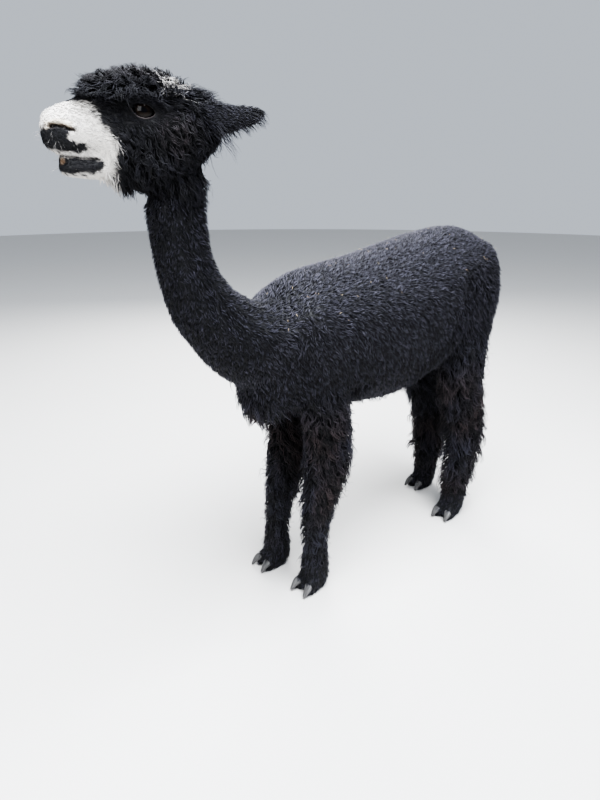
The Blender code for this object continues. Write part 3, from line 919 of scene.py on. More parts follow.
def lie_field(points, ways, share):
    at = in_head(points)
    total = sum(share[kind][:, None] * unit(np.array(way, float)) for kind, way in LIES.items())
    on_top = (ramp(ways[:, 2], 0.15, 0.65) * (share["trunk"] + share["neck"]))[:, None]
    total += on_top * (BACKWARD - total)
    hanging = on_rump(points, share)[:, None]
    total += hanging * (np.array((0.10, 0, -1)) - total)
    behind = behind_fold(points)
    at_fold = band(behind, -0.022, 0.006, 0.014) * ramp(points[:, 2], 0.84, 0.78)
    total += (at_fold * share["trunk"])[:, None] * (ALONG_FOLD - total)
    total += share["head"][:, None] * (head_lie(at) @ HEAD_AXES)
    total += share["ear"][:, None] * (ear_lie(at) @ HEAD_AXES)
    total -= ways * (total * ways).sum(1, keepdims=True)
    return unit(total)


ways = normals(skin.data)
lie = unit(web.spread(lie_field(points, ways, share), 3))
print("lie of the coat at", len(lie), "points")

# %% [markdown]
# ## Sowing
#
# Roots are scattered over the skin's triangles in proportion to their area. Pure chance leaves
# bald spots and crowds, so space is cut into small cubes and only one root stays in each. Each
# root takes along what the skin knows there: its direction, depth, markings and place on the
# unwrap.


# %% Roots on the skin
TRIES = 2.5  # roots tried for each one that has room
CUBES = 4096  # more small cubes than the animal has along any side


def cube_numbers(place, spacing):
    """One whole number for the small cube of space that each place lies in."""
    return np.floor(place / spacing).astype(np.int64) @ (1, CUBES, CUBES**2)


class Ground:
    """The skin as triangles that hair can be sown on."""

    def __init__(self, mesh, values):
        mesh.calc_loop_triangles()
        self.corners = numbers(mesh.loop_triangles, "vertices", 3, np.int32)
        self.loops = numbers(mesh.loop_triangles, "loops", 3, np.int32)
        self.uv = numbers(mesh.uv_layers["OFBake"].data, "uv", 2)
        self.values = values
        a, b, c = values["place"][self.corners].transpose(1, 0, 2)
        self.area = np.linalg.norm(np.cross(b - a, c - a), axis=1) / 2

    def sow(self, share, spacing, seed):
        """Roots about spacing apart where share is 1, and fewer where it is less."""
        rng = np.random.default_rng(seed)
        weight = share[self.corners].mean(1)
        chance = self.area * (weight > 0.02)
        tries = int(chance.sum() / spacing**2 * TRIES)
        triangle = rng.choice(len(chance), tries, p=chance / chance.sum())
        mix = rng.dirichlet((1, 1, 1), len(triangle))
        at = (self.values["place"][self.corners[triangle]] * mix[..., None]).sum(1)
        chosen = np.sort(np.unique(cube_numbers(at, spacing), return_index=True)[1])
        chosen = chosen[rng.random(len(chosen)) < weight[triangle[chosen]]]
        corners, mix = self.corners[triangle[chosen]], mix[chosen]
        roots = {
            name: (value[corners] * mix.reshape(-1, 3, *[1] * (value.ndim - 1))).sum(1)
            for name, value in self.values.items()
        }
        roots["uv"] = (self.uv[self.loops[triangle[chosen]]] * mix[..., None]).sum(1)
        roots["normal"] = unit(roots["normal"])
        roots["lie"] = unit(roots["lie"])
        return roots


root_at = in_head(points)
hair_marks = markings(points + lie * depth[:, None], share)  # what a lock covers, not its root
forelock_front = ramp(root_at[:, 2], 0.010, 0.018) * ramp(root_at[:, 0], 0.020, 0.050)
hair_marks["white"] *= 1 - forelock_front
ground = Ground(skin.data, {"place": points, "normal": ways, "lie": lie, "depth": depth, **hair_marks})
print("skin area", ground.area.sum().round(3), "square metres")

# %% [markdown]
# ## The path of a lock
#
# A lock leaves the skin at a steep angle and then lies down along the coat, so its path is
# stepped along a direction that turns from a rise to a rest angle. Weight pulls a long lock
# down, and a wave to both sides curls it. Hairs of a coat cling together in bundles. So some
# locks lead, and each of the others takes its turn and its wave mostly from the nearest leader,
# and leans over to it more and more toward the tip.

# %% Paths, waves and bundles
ROOT_SINK = 1.0 * MM
OWN_WAY = 0.4  # how much of its turn and wave each lock has of its own


def leaders_of(place, spacing):
    """For each root the number of its leader. Leaders stand about spacing apart."""
    leaders = np.unique(cube_numbers(place, spacing), return_index=True)[1]
    tree = kdtree.KDTree(len(leaders))
    for number, spot in enumerate(place[leaders]):
        tree.insert(spot, number)
    tree.balance()
    return leaders[[tree.find(spot)[1] for spot in place]]


def lock_paths(roots, lead, steps, length, rng, rise, rest, stray=0.25, sag=0.0, wave=0.0, turns=1.0):
    """Paths of locks that leave at the angle rise and end at the angle rest, in degrees."""
    size = len(length)
    side = np.cross(roots["normal"], roots["lie"])
    turn = rng.normal(0, stray, (size, 1))
    turn = turn[lead] + OWN_WAY * turn
    way_out = roots["lie"] * np.cos(turn) + side * np.sin(turn)
    side = np.cross(roots["normal"], way_out)
    rise = np.radians(rise + rng.normal(0, 8, (size, 1)))
    rest = np.radians(rest + rng.normal(0, 6, (size, 1)))
    spot = roots["place"] - roots["normal"] * ROOT_SINK
    line = [spot]
    for step in range(steps):
        t = (step + 0.5) / steps
        angle = rise + (rest - rise) * t
        way = way_out * np.cos(angle) + roots["normal"] * np.sin(angle)
        way = unit(way - UP * sag * t)
        spot = spot + way * (length / steps)[:, None]
        line.append(spot)
    t = np.linspace(0, 1, steps + 1)
    phase = rng.uniform(0, 2 * math.pi, (size, 1))[lead] + rng.normal(0, OWN_WAY, (size, 1))
    round_way = turns * 2 * math.pi * t + phase
    swing = wave * length[:, None] * t * np.sin(round_way)
    lift = wave * length[:, None] * t * np.cos(round_way) * 0.6
    line = np.stack(line, 1) + side[:, None] * swing[..., None]
    return line + roots["normal"][:, None] * lift[..., None]


def gather(line, lead, spacing, pull):
    """Leans each path over to its leader, the more the nearer the leader is."""
    near = ramp(distance(line[lead, 0], line[:, 0]), 1.6 * spacing, 0.9 * spacing)
    t = np.linspace(0, 1, line.shape[1])[None, :, None] ** 1.3
    return line + (line[lead] - line) * pull * t * near[:, None, None]


few = points[::50]
print("bundles 2 cm apart among", len(few), "roots:", len(np.unique(leaders_of(few, 0.02))))


# %% [markdown]
# ## Locks as solid mesh
#
# Curves and particle hair aren't kept when a model leaves Blender, so each lock is a thin closed
# spike with three sides that tapers to its tip. Thousands of them go into one mesh, and all their
# points and faces are written as arrays in one go. Each lock gets a tiny patch of the unwrap at
# its root. The spike is spread out in that patch as a fan seen from its tip, so that no face of
# it is without area, and its base lies beside the fan.

# %% The form of a lock
PATCH = 0.003
FLOOR_GAP = 1.5 * MM
EDGES = ((0, 1), (1, 2), (2, 0))  # of the triangle that a lock has across


def fan_uv(steps):
    """Where the corners of one lock's faces lie in its patch, face by face."""
    angle = np.radians((90, 210, 330))
    corner = np.stack((np.cos(angle), np.sin(angle)), 1)
    tip = np.array((0.38, 0.42))
    rings = [tip + 0.36 * (1 - step / steps) * corner for step in range(steps)]
    uv = [np.array(place) for place in ((0.80, 0.80), (0.98, 0.80), (0.89, 0.98))]
    for low, high in zip(rings, rings[1:]):
        for i, j in EDGES:
            uv += [low[i], low[j], high[j], high[i]]
    for i, j in EDGES:
        uv += [rings[-1][i], rings[-1][j], tip]
    return np.array(uv)


def lock_faces(steps):
    """Corner numbers and face sizes of one lock, with its base as the first face."""
    corners, sizes = [0, 2, 1], [3]
    for low in range(0, 3 * (steps - 1), 3):
        for i, j in EDGES:
            corners += [low + i, low + j, low + 3 + j, low + 3 + i]
            sizes.append(4)
    for i, j in EDGES:
        corners += [3 * steps - 3 + i, 3 * steps - 3 + j, 3 * steps]
        sizes.append(3)
    return np.array(corners), np.array(sizes)


def lock_points(line, width, flat, normal, rng):
    """Rings of three points along each path, and its tip."""
    size, steps = len(line), line.shape[1] - 1
    along = unit(np.gradient(line, axis=1))
    ridge = normal[:, None] + 0.25 * rng.normal(size=(size, 1, 3))
    ridge = unit(ridge - along * (ridge * along).sum(-1, keepdims=True))
    t = np.linspace(0, 1, steps + 1)[:steps]
    swell = 0.8 + 0.35 * np.sin(math.pi * np.minimum(t * 1.5, 1))
    taper = (width[:, None] * (1 - t**1.6) * swell)[..., None]
    across = np.cross(ridge, along)[:, :steps] * taper
    ridge = ridge[:, :steps] * taper * flat
    centre = line[:, :steps]
    rings = np.stack((centre + across, centre + ridge, centre - across), 2).reshape(size, -1, 3)
    return np.concatenate((rings, line[:, -1:]), 1)


print("triangles of a lock with 2, 3 and 5 steps:", [6 * steps - 2 for steps in (2, 3, 5)])

# %% [markdown]
# A mesh with this many faces is slow to build one face at a time. So it is written as three
# arrays: the places of the points, the points at the corners of the faces, and where each face
# starts. All locks of one piece have equally many steps, so the faces of one lock serve for all.

# %% One mesh of many locks
HAIR_MARKS = ("tone", "white", "brown", "tan", "grey_and_highlight", "shade", "dust_and_sheen")


def joined_mesh(name, verts, corners, sizes):
    """Many locks as one mesh, from the points of each and the faces of one."""
    size, per_lock = verts.shape[:2]
    all_corners = (corners + per_lock * np.arange(size)[:, None]).ravel()
    all_sizes = np.tile(sizes, size)
    starts = np.concatenate(([0], np.cumsum(all_sizes)[:-1]))
    mesh = bpy.data.meshes.new(name)
    mesh.vertices.add(size * per_lock)
    mesh.vertices.foreach_set("co", verts.astype(np.float32).ravel())
    mesh.loops.add(len(all_corners))
    mesh.loops.foreach_set("vertex_index", all_corners.astype(np.int32))
    mesh.polygons.add(len(all_sizes))
    mesh.polygons.foreach_set("loop_start", starts.astype(np.int32))
    mesh.update(calc_edges=True)
    return mesh


def lock_piece(name, line, width, flat, roots, rng):
    """One piece of closed spikes along the paths."""
    size, steps = len(line), line.shape[1] - 1
    line[..., 2] = np.maximum(line[..., 2], FLOOR_GAP)
    verts = lock_points(line, width, flat, roots["normal"], rng)
    per_lock = verts.shape[1]
    mesh = joined_mesh(name, verts, *lock_faces(steps))
    patch = (roots["uv"][:, None] - PATCH / 2 + PATCH * fan_uv(steps)).reshape(-1, 2)
    mesh.uv_layers.new(name="OFBake").data.foreach_set("uv", patch.astype(np.float32).ravel())
    root_to_tip = np.append(np.repeat(np.linspace(0, 1, steps + 1)[:steps], 3), 1.0)
    keep_values(mesh, {
        "along": np.tile(root_to_tip, size),
        **{mark: np.repeat(roots[mark], per_lock) for mark in HAIR_MARKS},
        "bare": np.zeros(size * per_lock),
        "pale": np.zeros(size * per_lock),
    })
    mesh.shade_smooth()
    return add_piece(name, mesh)


def triangles(mesh):
    return len(mesh.loops) - 2 * len(mesh.polygons)


print("each point of a lock knows", HAIR_MARKS)

# %% [markdown]
# One call then makes one kind of hair: it sows the roots, grows their paths, leans them together
# and writes the pieces. White hair among black isn't grey. So where the share of white lies
# between 0 and 1, chance sends most locks to one of the two.

# %% Sowing and growing
WHOLE = {"": lambda place: np.full(len(place), True)}
BUNDLE_TONE = 0.75  # how far the locks of a bundle are alike in tone
coat_pieces = []


def grow(name, share, seed, spacing, steps, reach, width, flat=0.6, longest=1.0, clump=None, pull=0.0,
         parts=WHOLE, white=0.0, **habit):
    """Sows and grows one kind of hair, as one piece for each of the parts.

    The length is reach times the coat's depth. The habit, from rise to turns, is how it lies.
    """
    roots = ground.sow(share, spacing, seed)
    rng = np.random.default_rng(seed + 1000)
    size = len(roots["place"])
    length = np.minimum(roots["depth"] * reach, longest) * rng.uniform(0.75, 1.10, size)
    lead = leaders_of(roots["place"], clump) if clump else np.arange(size)
    line = lock_paths(roots, lead, steps, length, rng, **habit)
    if clump:
        line = gather(line, lead, clump, pull)
    tone = rng.random(size)
    roots["tone"] = BUNDLE_TONE * tone[lead] + (1 - BUNDLE_TONE) * tone
    mixed = np.sqrt(np.clip(roots["white"] * (1 - roots["white"]), 0, None))
    hair_by_hair = roots["white"] + mixed * rng.normal(0, 0.6, size)
    roots["white"] = np.maximum(ramp(hair_by_hair, 0.3, 0.7), white)
    widths = width * rng.uniform(0.75, 1.25, size)
    for end, chooser in parts.items():
        own = chooser(roots["place"])
        some = {key: value[own] for key, value in roots.items()}
        piece = lock_piece(name + end, line[own], widths[own], flat, some, rng)
        coat_pieces.append(piece)
        print(piece.name, int(own.sum()), "locks", triangles(piece.data), "triangles")


# %% [markdown]
# ## The fleece of the body
#
# Shorn fleece is even and matt. Up close it is a field of small tufts, each a few millimetres
# wide, whose tips lie over the next ones below. They run in faint streaks, which comes from the
# clumping.

# %% Body and neck
QUARTERS = {
    "_left_front": lambda p: (p[:, 1] > 0) & (p[:, 0] > 0.0),
    "_left_rear": lambda p: (p[:, 1] > 0) & (p[:, 0] <= 0.0),
    "_right_front": lambda p: (p[:, 1] <= 0) & (p[:, 0] > 0.0),
    "_right_rear": lambda p: (p[:, 1] <= 0) & (p[:, 0] <= 0.0),
}
LEG_QUARTERS = {
    "_front_left": QUARTERS["_left_front"], "_hind_left": QUARTERS["_left_rear"],
    "_front_right": QUARTERS["_right_front"], "_hind_right": QUARTERS["_right_rear"],
}
body = np.clip(share["trunk"] + share["neck"] * 1.1, 0, 1)
throat = share["head"] * ramp(in_head(points)[:, 2], -0.115, -0.145)
shorn = np.maximum(ramp(body, 0.10, 0.55), ramp(throat, 0.1, 0.5))
shorn *= 1 - 0.92 * band(behind_fold(points), 0.006, 0.035, 0.008) * ramp(marks["shade"], 0.3, 0.6)
grow("fleece", shorn, seed=11, spacing=0.0062, steps=2, reach=1.50, width=0.0017, rise=54, rest=24,
     stray=0.30, clump=0.014, pull=0.45, parts=QUARTERS)
grow("fleece_tips", shorn, seed=12, spacing=0.0036, steps=1, reach=1.45, width=0.0008, flat=0.8,
     rise=38, rest=38, stray=0.30, clump=0.009, pull=0.45, parts=QUARTERS)

# %% [markdown]
# The shears leave the legs, the tail and the fringes of brisket and belly. There the wool keeps
# its full length: locks that lean together into pointed bundles, with looser curls between them.
# Short thick hair covers the toes and leaves the nails free.

# %% Legs, tail and fringes
legs = np.clip(all_legs(share), 0, 1)
unshorn = np.clip(ramp(legs, 0.15, 0.7) * (1 - ramp(body, 0.55, 0.95)), 0, 1)
grow("leg_locks", unshorn, seed=21, spacing=0.0070, steps=5, reach=2.2, width=0.0021, longest=0.078,
     rise=50, rest=0, stray=0.32, sag=0.6, wave=0.15, turns=1.4, clump=0.020, pull=0.7, parts=LEG_QUARTERS)
curly = ramp(legs, 0.5, 0.9) * ramp(points[:, 2], 0.12, 0.20)
grow("leg_curls", curly, seed=22, spacing=0.0185, steps=6, reach=2.7, width=0.0016, longest=0.058,
     rise=52, rest=4, stray=0.5, sag=0.7, wave=0.24, turns=1.7)
tuft = bell(distance(points, BRISKET), 0.050) * ramp(ways[:, 2], 0.3, -0.3)
grow("brisket_tuft", tuft, seed=23, spacing=0.0052, steps=5, reach=5.0, width=0.0018, rise=35, rest=10,
     stray=0.35, sag=1.2, wave=0.10, clump=0.020, pull=0.85)
belly = share["trunk"] * ramp(ways[:, 2], -0.6, -0.9)
grow("belly_fringe", belly, seed=24, spacing=0.0130, steps=4, reach=2.6, width=0.0017, rise=40, rest=20,
     stray=0.5, sag=0.5, wave=0.12, clump=0.030, pull=0.8)
grow("tail_locks", ramp(share["tail"], 0.3, 0.7), seed=31, spacing=0.0060, steps=4, reach=2.4,
     width=0.0024, rise=50, rest=8, stray=0.3, sag=0.4, wave=0.09, clump=0.016, pull=0.7)
NAILS = [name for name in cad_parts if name.startswith("nail_")]
NAIL_FRONT = (0.012, 0, -0.010)  # from a nail's middle
off_nails = np.min([distance(points, middle(name) + NAIL_FRONT) for name in NAILS], axis=0)
toes = ramp(share["foot"], 0.2, 0.6) * ramp(off_nails, 0.010, 0.017)
grow("toe_hair", toes, seed=41, spacing=0.0049, steps=3, reach=3.6, width=0.0013, rise=40, rest=12,
     stray=0.40, clump=0.012, pull=0.5)

# %% [markdown]
# ## The head
#
# The face has velvet-short hair, the cheeks hang in curls, and the forelock is a mop of loose
# curls. The ears have short hair on both sides and a fringe of long thin hairs at the tip.

# %% Face, cheeks and forelock
forelock = ramp(root_at[:, 2], 0.012, 0.030) * ramp(root_at[:, 0], 0.125, 0.108) * share["head"]
cheeks = ramp(root_at[:, 2], -0.012, -0.045) * ramp(root_at[:, 0], 0.062, 0.040)
cheeks = np.maximum(cheeks, ramp(root_at[:, 0], -0.030, -0.060))
cheeks *= share["head"] * (1 - forelock) * ramp(root_at[:, 2], -0.145, -0.115)
off_eye = ramp(almond(in_eye(points)), 1.12, 1.25)
haired = 1 - ramp(marks["bare"], 0.3, 0.7)
face = share["head"] * (1 - forelock) * (1 - cheeks) * haired * off_eye * ramp(root_at[:, 2], -0.14, -0.12)
grow("face_hair", ramp(face, 0.1, 0.5), seed=51, spacing=0.0028, steps=3, reach=2.6, width=0.0008,
     rise=26, rest=5, stray=0.20, clump=0.007, pull=0.40)
grow("cheek_locks", ramp(cheeks, 0.2, 0.6) * off_eye, seed=61, spacing=0.0044, steps=5, reach=2.3,
     width=0.0015, rise=52, rest=5, stray=0.35, sag=0.6, wave=0.15, turns=1.2, clump=0.017, pull=0.75)
grow("cheek_curls", ramp(cheeks, 0.6, 0.9) * off_eye, seed=62, spacing=0.0130, steps=8, reach=3.0,
     width=0.0014, rise=55, rest=0, stray=0.4, sag=0.8, wave=0.20, turns=1.4, clump=0.026, pull=0.3)
grow("forelock", ramp(forelock, 0.3, 0.7), seed=71, spacing=0.0032, steps=5, reach=1.65, width=0.0011,
     rise=62, rest=16, stray=0.55, sag=0.25, wave=0.16, turns=1.3, clump=0.011, pull=0.50)

# %% [markdown]
# Thin hairs hang from the lower side and the tip of each ear, and a fringe hangs under the jaw.
# The nose and the chin have a few long pale whiskers.

# %% Ears, jaw and lips
ear_edge = ramp(share["ear"], 0.5, 0.8) * np.maximum(
    ramp(ways[:, 2], -0.2, -0.6), ramp(root_at[:, 0], -0.180, -0.195)
)
under_jaw = ramp(root_at[:, 2], -0.098, -0.115) * ramp(root_at[:, 0], 0.095, 0.080) * share["head"]
under_jaw *= ramp(root_at[:, 0], 0.030, 0.050) * ramp(ways[:, 2], 0.0, -0.3)
lips = inside(root_at[:, (0, 2)], NOSE_PATCH, 0.002)
lips += inside(root_at[:, (0, 2)], CHIN_PATCH, 0.002) * ramp(root_at[:, 0], 0.1, 0.13)
grow("ear_hair", ramp(share["ear"], 0.2, 0.6), seed=81, spacing=0.0023, steps=2, reach=5.0,
     width=0.0010, rise=24, rest=6, stray=0.18)
grow("ear_fringe", ear_edge, seed=82, spacing=0.0040, steps=5, reach=13.0, width=0.0006, rise=30,
     rest=10, stray=0.35, sag=1.5, wave=0.08, clump=0.012, pull=0.5)
grow("jaw_fringe", under_jaw, seed=91, spacing=0.0042, steps=5, reach=5.2, width=0.0011, rise=60,
     rest=40, stray=0.4, sag=1.6, wave=0.10, clump=0.012, pull=0.7)
grow("whiskers", lips * share["head"], seed=92, spacing=0.0130, steps=4, reach=7.5, width=0.00022,
     rise=78, rest=62, stray=0.6, sag=0.25, wave=0.04, white=0.6)

# %% [markdown]
# ## Hairs that are placed one by one
#
# The lashes stand along the edge of the upper lid, and some slivers of hay lie on the back. They
# need no sowing. Each only asks the nearest point of the skin for its place on the unwrap.

# %% Lashes and hay
skin_tree = kdtree.KDTree(len(points))
for number, place in enumerate(points):
    skin_tree.insert(place, number)
skin_tree.balance()
corner_of = np.zeros(len(points), np.int64)
corner_of[ground.corners.ravel()] = ground.loops.ravel()


def roots_at(spots, out, ways_out):
    """Roots at chosen places, with all else taken from the nearest point of the skin."""
    nearest_point = np.array([skin_tree.find(spot)[1] for spot in spots])
    roots = {name: value[nearest_point] for name, value in ground.values.items()}
    roots["uv"] = ground.uv[corner_of[nearest_point]]
    roots["tone"] = np.full(len(spots), 0.5)
    return {**roots, "place": spots, "normal": unit(out), "lie": unit(ways_out)}


def add_locks(name, roots, line, width, flat, rng):
    piece = lock_piece(name, line, np.full(len(line), width), flat, roots, rng)
    coat_pieces.append(piece)
    print(name, len(line), "locks")


LASHES = 42
SLIVERS = 90
LASH_LENGTH = 0.017
LASH_SPAN = (-0.80, 0.88)  # the share of the lid that they stand on


def grow_lashes(side, rng):
    mirror = SIDES[side]
    along = np.linspace(*LASH_SPAN, LASHES) * ALMOND_LONG
    over = ALMOND_UPPER * (1 - np.abs(along / ALMOND_LONG) ** 2.2) ** 0.667 + 0.0008
    out = np.sqrt((BALL_RADIUS + LID) ** 2 - along**2 - over**2)
    local = np.stack((along, over, out), 1) @ EYE_AXES
    outward = (unit(local) * mirror) @ HEAD_AXES
    sideways = np.outer(along / ALMOND_LONG, ALONG_LID) * 0.5 + OVER_LID * 0.35 - (0, 0, 0.2)
    roots = roots_at(from_head((local + BALL_AT) * mirror), outward, (sideways * mirror) @ HEAD_AXES)
    length = LASH_LENGTH * rng.uniform(0.6, 1.1, LASHES)
    line = lock_paths(roots, np.arange(LASHES), 4, length, rng, rise=70, rest=30, stray=0.12,
                      sag=0.5, wave=0.03)
    add_locks("lashes_" + side, roots, line, 0.00050, 0.8, rng)


def lay_hay(count, rng):
    on_back = np.flatnonzero((share["trunk"] > 0.8) & (ways[:, 2] > 0.25))
    chosen = rng.choice(on_back, count, replace=False)
    on_tips = points[chosen] + ways[chosen] * (depth[chosen, None] + 0.5 * MM)
    roots = roots_at(on_tips, ways[chosen], lie[chosen])
    roots["tan"] = np.ones(count)
    roots["white"] = rng.uniform(0, 1, count)
    length = rng.uniform(0.004, 0.011, count)
    line = lock_paths(roots, np.arange(count), 2, length, rng, rise=0, rest=0, stray=1.2, wave=0.05)
    line += roots["normal"][:, None] * ROOT_SINK
    add_locks("hay", roots, line, 0.0007, 0.5, rng)


lash_rng = np.random.default_rng(101)
for side in SIDES:
    grow_lashes(side, lash_rng)
lay_hay(SLIVERS, np.random.default_rng(103))

# %% [markdown]
# ## Looks
#
# A material is a small program for light. The class below wraps the output of a shader node, so
# that sums and products can be written as usual and each makes a Math node.


# %% Shader values
class Value:
    """The output of a shader node."""

    def __init__(self, tree, socket):
        self.tree = tree
        self.socket = socket

    def node(self, kind, settings=None, inputs=None, output=0):
        """Any node: its type, its settings, and what goes into its sockets."""
        node = self.tree.nodes.new("ShaderNode" + kind)
        for name, setting in (settings or {}).items():
            setattr(node, name, setting)
        for name, value in (inputs or {}).items():
            if isinstance(value, Value):
                self.tree.links.new(value.socket, node.inputs[name])
            else:
                node.inputs[name].default_value = value
        return Value(self.tree, node.outputs[output])

    def maths(self, operation, *others, clamp=False):
        inputs = dict(enumerate((self, *others)))
        return self.node("Math", {"operation": operation, "use_clamp": clamp}, inputs)

    def __add__(self, other):
        return self.maths("ADD", other)

    def __mul__(self, other):
        return self.maths("MULTIPLY", other)

    def __sub__(self, other):
        return self.maths("SUBTRACT", other)

    def __rsub__(self, other):
        return self * -1 + other

    __radd__ = __add__
    __rmul__ = __mul__

    def slope(self, start, end):
        """0 at start, 1 at end."""
        return ((self - start) * (1 / (end - start))).maths("ADD", 0.0, clamp=True)

    def mix(self, one, other):
        """The colour one where this value is 0, and other where it is 1."""
        return self.node("Mix", {"data_type": "RGBA"}, {0: self, 6: one, 7: other}, 2)

    def mark(self, name):
        """A number that each point of the mesh keeps."""
        return self.node("Attribute", {"attribute_name": name}, output=2)


def look(name, **numbers_of_shader):
    """A new material and a value to start its maths from."""
    material = bpy.data.materials.new(name)
    material.use_nodes = True
    tree = material.node_tree
    shader = tree.nodes["Principled BSDF"]
    for socket, number in numbers_of_shader.items():
        shader.inputs[socket.replace("_", " ")].default_value = number
    return material, shader, Value(tree, None)


def feed(shader, socket, value):
    value.tree.links.new(value.socket, shader.inputs[socket])


print("a value knows", [name for name in vars(Value) if name.endswith("__") and name != "__doc__"])

# %% [markdown]
# The black of a lock runs from a dark root, which is painted shade deep among the locks, to a
# paler tip, and the tone of the lock and a patchy noise push it either way. That contrast between
# locks is what makes a black coat readable. White hair is darker at the root in the same way. On
# top of it come the brown, the grey with its painted highlight, the white, the bare skin and the
# hay, each mixed in by its own share, so skin and hair can use one material.

# %% Hair
# painted shade at the roots of the locks; the skin under the coat takes it too
BLACK_ROOT = (0.0050, 0.0050, 0.0065, 1)
BLACK_TIP = (0.0455, 0.0445, 0.0630, 1)
# lighter and bluer tips on the back: dust, and painted sheen of the light from above
DUST_AND_SHEEN_TIP = (0.0720, 0.0700, 0.0930, 1)
BROWN_TIP = (0.0680, 0.0450, 0.0420, 1)
WHITE_HAIR = (0.68, 0.665, 0.65, 1)
# painted shade at the roots of the white hair
WHITE_ROOT = (0.58, 0.55, 0.51, 1)
# grey wisps, and the painted highlight on the edge of the barrel's fleece
GREY_AND_HIGHLIGHT_TIP = (0.240, 0.235, 0.230, 1)
HAY_PALE = (0.55, 0.46, 0.30, 1)
# the pale rim of the wet lower lid, with painted shine where it catches the light
PALE_LID = (0.060, 0.050, 0.050, 1)
TAN_HAIR = (0.20, 0.13, 0.08, 1)
BARE_SKIN = (0.0120, 0.0105, 0.0110, 1)


def black_coat(start, along, tone):
    """Black, brown and grey hair, from the dark root, which is painted shade, to the tip; dust and painted
    sheen on the back.
    """
    dust_and_sheen = start.mark("dust_and_sheen")
    patchy = start.node("TexNoise", {}, {"Scale": 40.0, "Detail": 3.0})
    # on the back the tips take dust and a painted sheen, and their tones are evened out
    tip = start.mark("brown").mix(dust_and_sheen.mix(BLACK_TIP, DUST_AND_SHEEN_TIP), BROWN_TIP)
    # grey tips: wisps in the forelock and a painted highlight at the fleece's edge
    tip = (start.mark("grey_and_highlight") * tone.slope(0.5, 0.9) * along).mix(tip, GREY_AND_HIGHLIGHT_TIP)
    contrast = 2.2 - dust_and_sheen * 1.1
    # dark at the root: painted shade among the locks, varied by tone and noise
    bright = along.slope(0.1, 1.0) * (0.35 + (tone - 0.5) * contrast + patchy.slope(0.32, 0.68))
    # the shade share darkens the colour: painted shade at the fold, darker head, ears and legs
    return (bright.maths("MAXIMUM", 0.0) * (1 - start.mark("shade"))).mix(BLACK_ROOT, tip)


def coat_look(name):
    material, shader, start = look(name, Roughness=0.62, Specular_IOR_Level=0.35)
    along, tone, white = start.mark("along"), start.mark("tone"), start.mark("white")
    black = black_coat(start, along, tone)
    light = (tone * 0.4 + along * 0.6).mix(WHITE_ROOT, WHITE_HAIR)
    colour = start.mark("bare").mix(white.mix(black, light), BARE_SKIN)
    colour = start.mark("tan").mix(colour, white.mix(TAN_HAIR, HAY_PALE))
    colour = start.mark("pale").mix(colour, PALE_LID)
    feed(shader, "Base Color", colour)
    grain = start.node("TexNoise", {}, {"Scale": 900.0, "Detail": 2.0})
    bump = start.node("Bump", {}, {"Strength": 0.5, "Distance": 0.0006, "Height": grain})
    feed(shader, "Normal", bump)
    return material


hair_look = coat_look("hair")
skin.data.materials.append(hair_look)
for piece in coat_pieces:
    piece.data.materials.append(hair_look)
print("hair on", len(coat_pieces), "pieces")

# %% [markdown]
# ## Eyes
#
# The eye is a dark glossy ball with a brown iris and a pupil that lies across it as a bar. The
# ball is turned so that its pole looks out between the lids, and each point stores how far it
# lies along and over the pupil's middle.

# %% Eyeballs
PUPIL_LONG, PUPIL_HIGH, IRIS = 0.0085, 0.0045, 0.0140
PUPIL_BLACK = (0.002, 0.002, 0.003, 1)
IRIS_BROWN = (0.009, 0.005, 0.003, 1)
BALL_DARK = (0.003, 0.002, 0.002, 1)


def eyeball(side):
    mesh = bpy.data.meshes.new("eyeball_" + side)
    bm = bmesh.new()
    bmesh.ops.create_uvsphere(bm, u_segments=64, v_segments=40, radius=1)
    bm.to_mesh(mesh)
    bm.free()
    ball = places(mesh)
    keep_values(mesh, {"across": ball[:, 0] * BALL_RADIUS, "over": ball[:, 1] * BALL_RADIUS})
    ball = ball * BALL_RADIUS @ (EYE_AXES * SIDES[side]) + BALL_AT * SIDES[side]
    set_places(mesh, from_head(ball))
    mesh.shade_smooth()
    if side == "right":
        mesh.flip_normals()
    return add_piece("eyeball_" + side, mesh)


eye_look, shader, start = look("eye", Roughness=0.05, Specular_IOR_Level=0.22)
across, over = start.mark("across"), start.mark("over")


def oval(long, high):
    """The distance from the pupil's middle, in which 1 is the edge of an oval."""
    wide = (across * (1 / long)).maths("POWER", 2.0)
    tall = (over * (1 / high)).maths("POWER", 2.0)
    return (wide + tall).maths("SQRT")


iris = oval(IRIS, IRIS).slope(1.0, 0.85).mix(BALL_DARK, IRIS_BROWN)
feed(shader, "Base Color", oval(PUPIL_LONG, PUPIL_HIGH).slope(1.15, 0.9).mix(iris, PUPIL_BLACK))
eyes = {side: eyeball(side) for side in SIDES}
for piece in eyes.values():
    piece.data.materials.append(eye_look)
print("eyeballs", round(2 * BALL_RADIUS / MM, 1), "mm across")

# %% [markdown]
# ## Nails
#
# Each toe carries a broad nail of grey horn, ridged along its length and pointed at the tip. It
# starts from the plain nail of the frame, since that has the right place and length. It is made
# broader, drawn in toward the tip, and rounded by Subdivision Surface.

# %% Toenails
NAIL_BROADER = np.array((0.94, 1.80, 1.05))
NAIL_NARROWS = 0.30  # how much narrower the nail is at its tip
HORN_RIDGES = (14.0, 420.0, 60.0)  # how quickly the horn changes along, across and up the nail
HORN_DARK = (0.034, 0.033, 0.033, 1)
HORN_PALE = (0.125, 0.122, 0.120, 1)


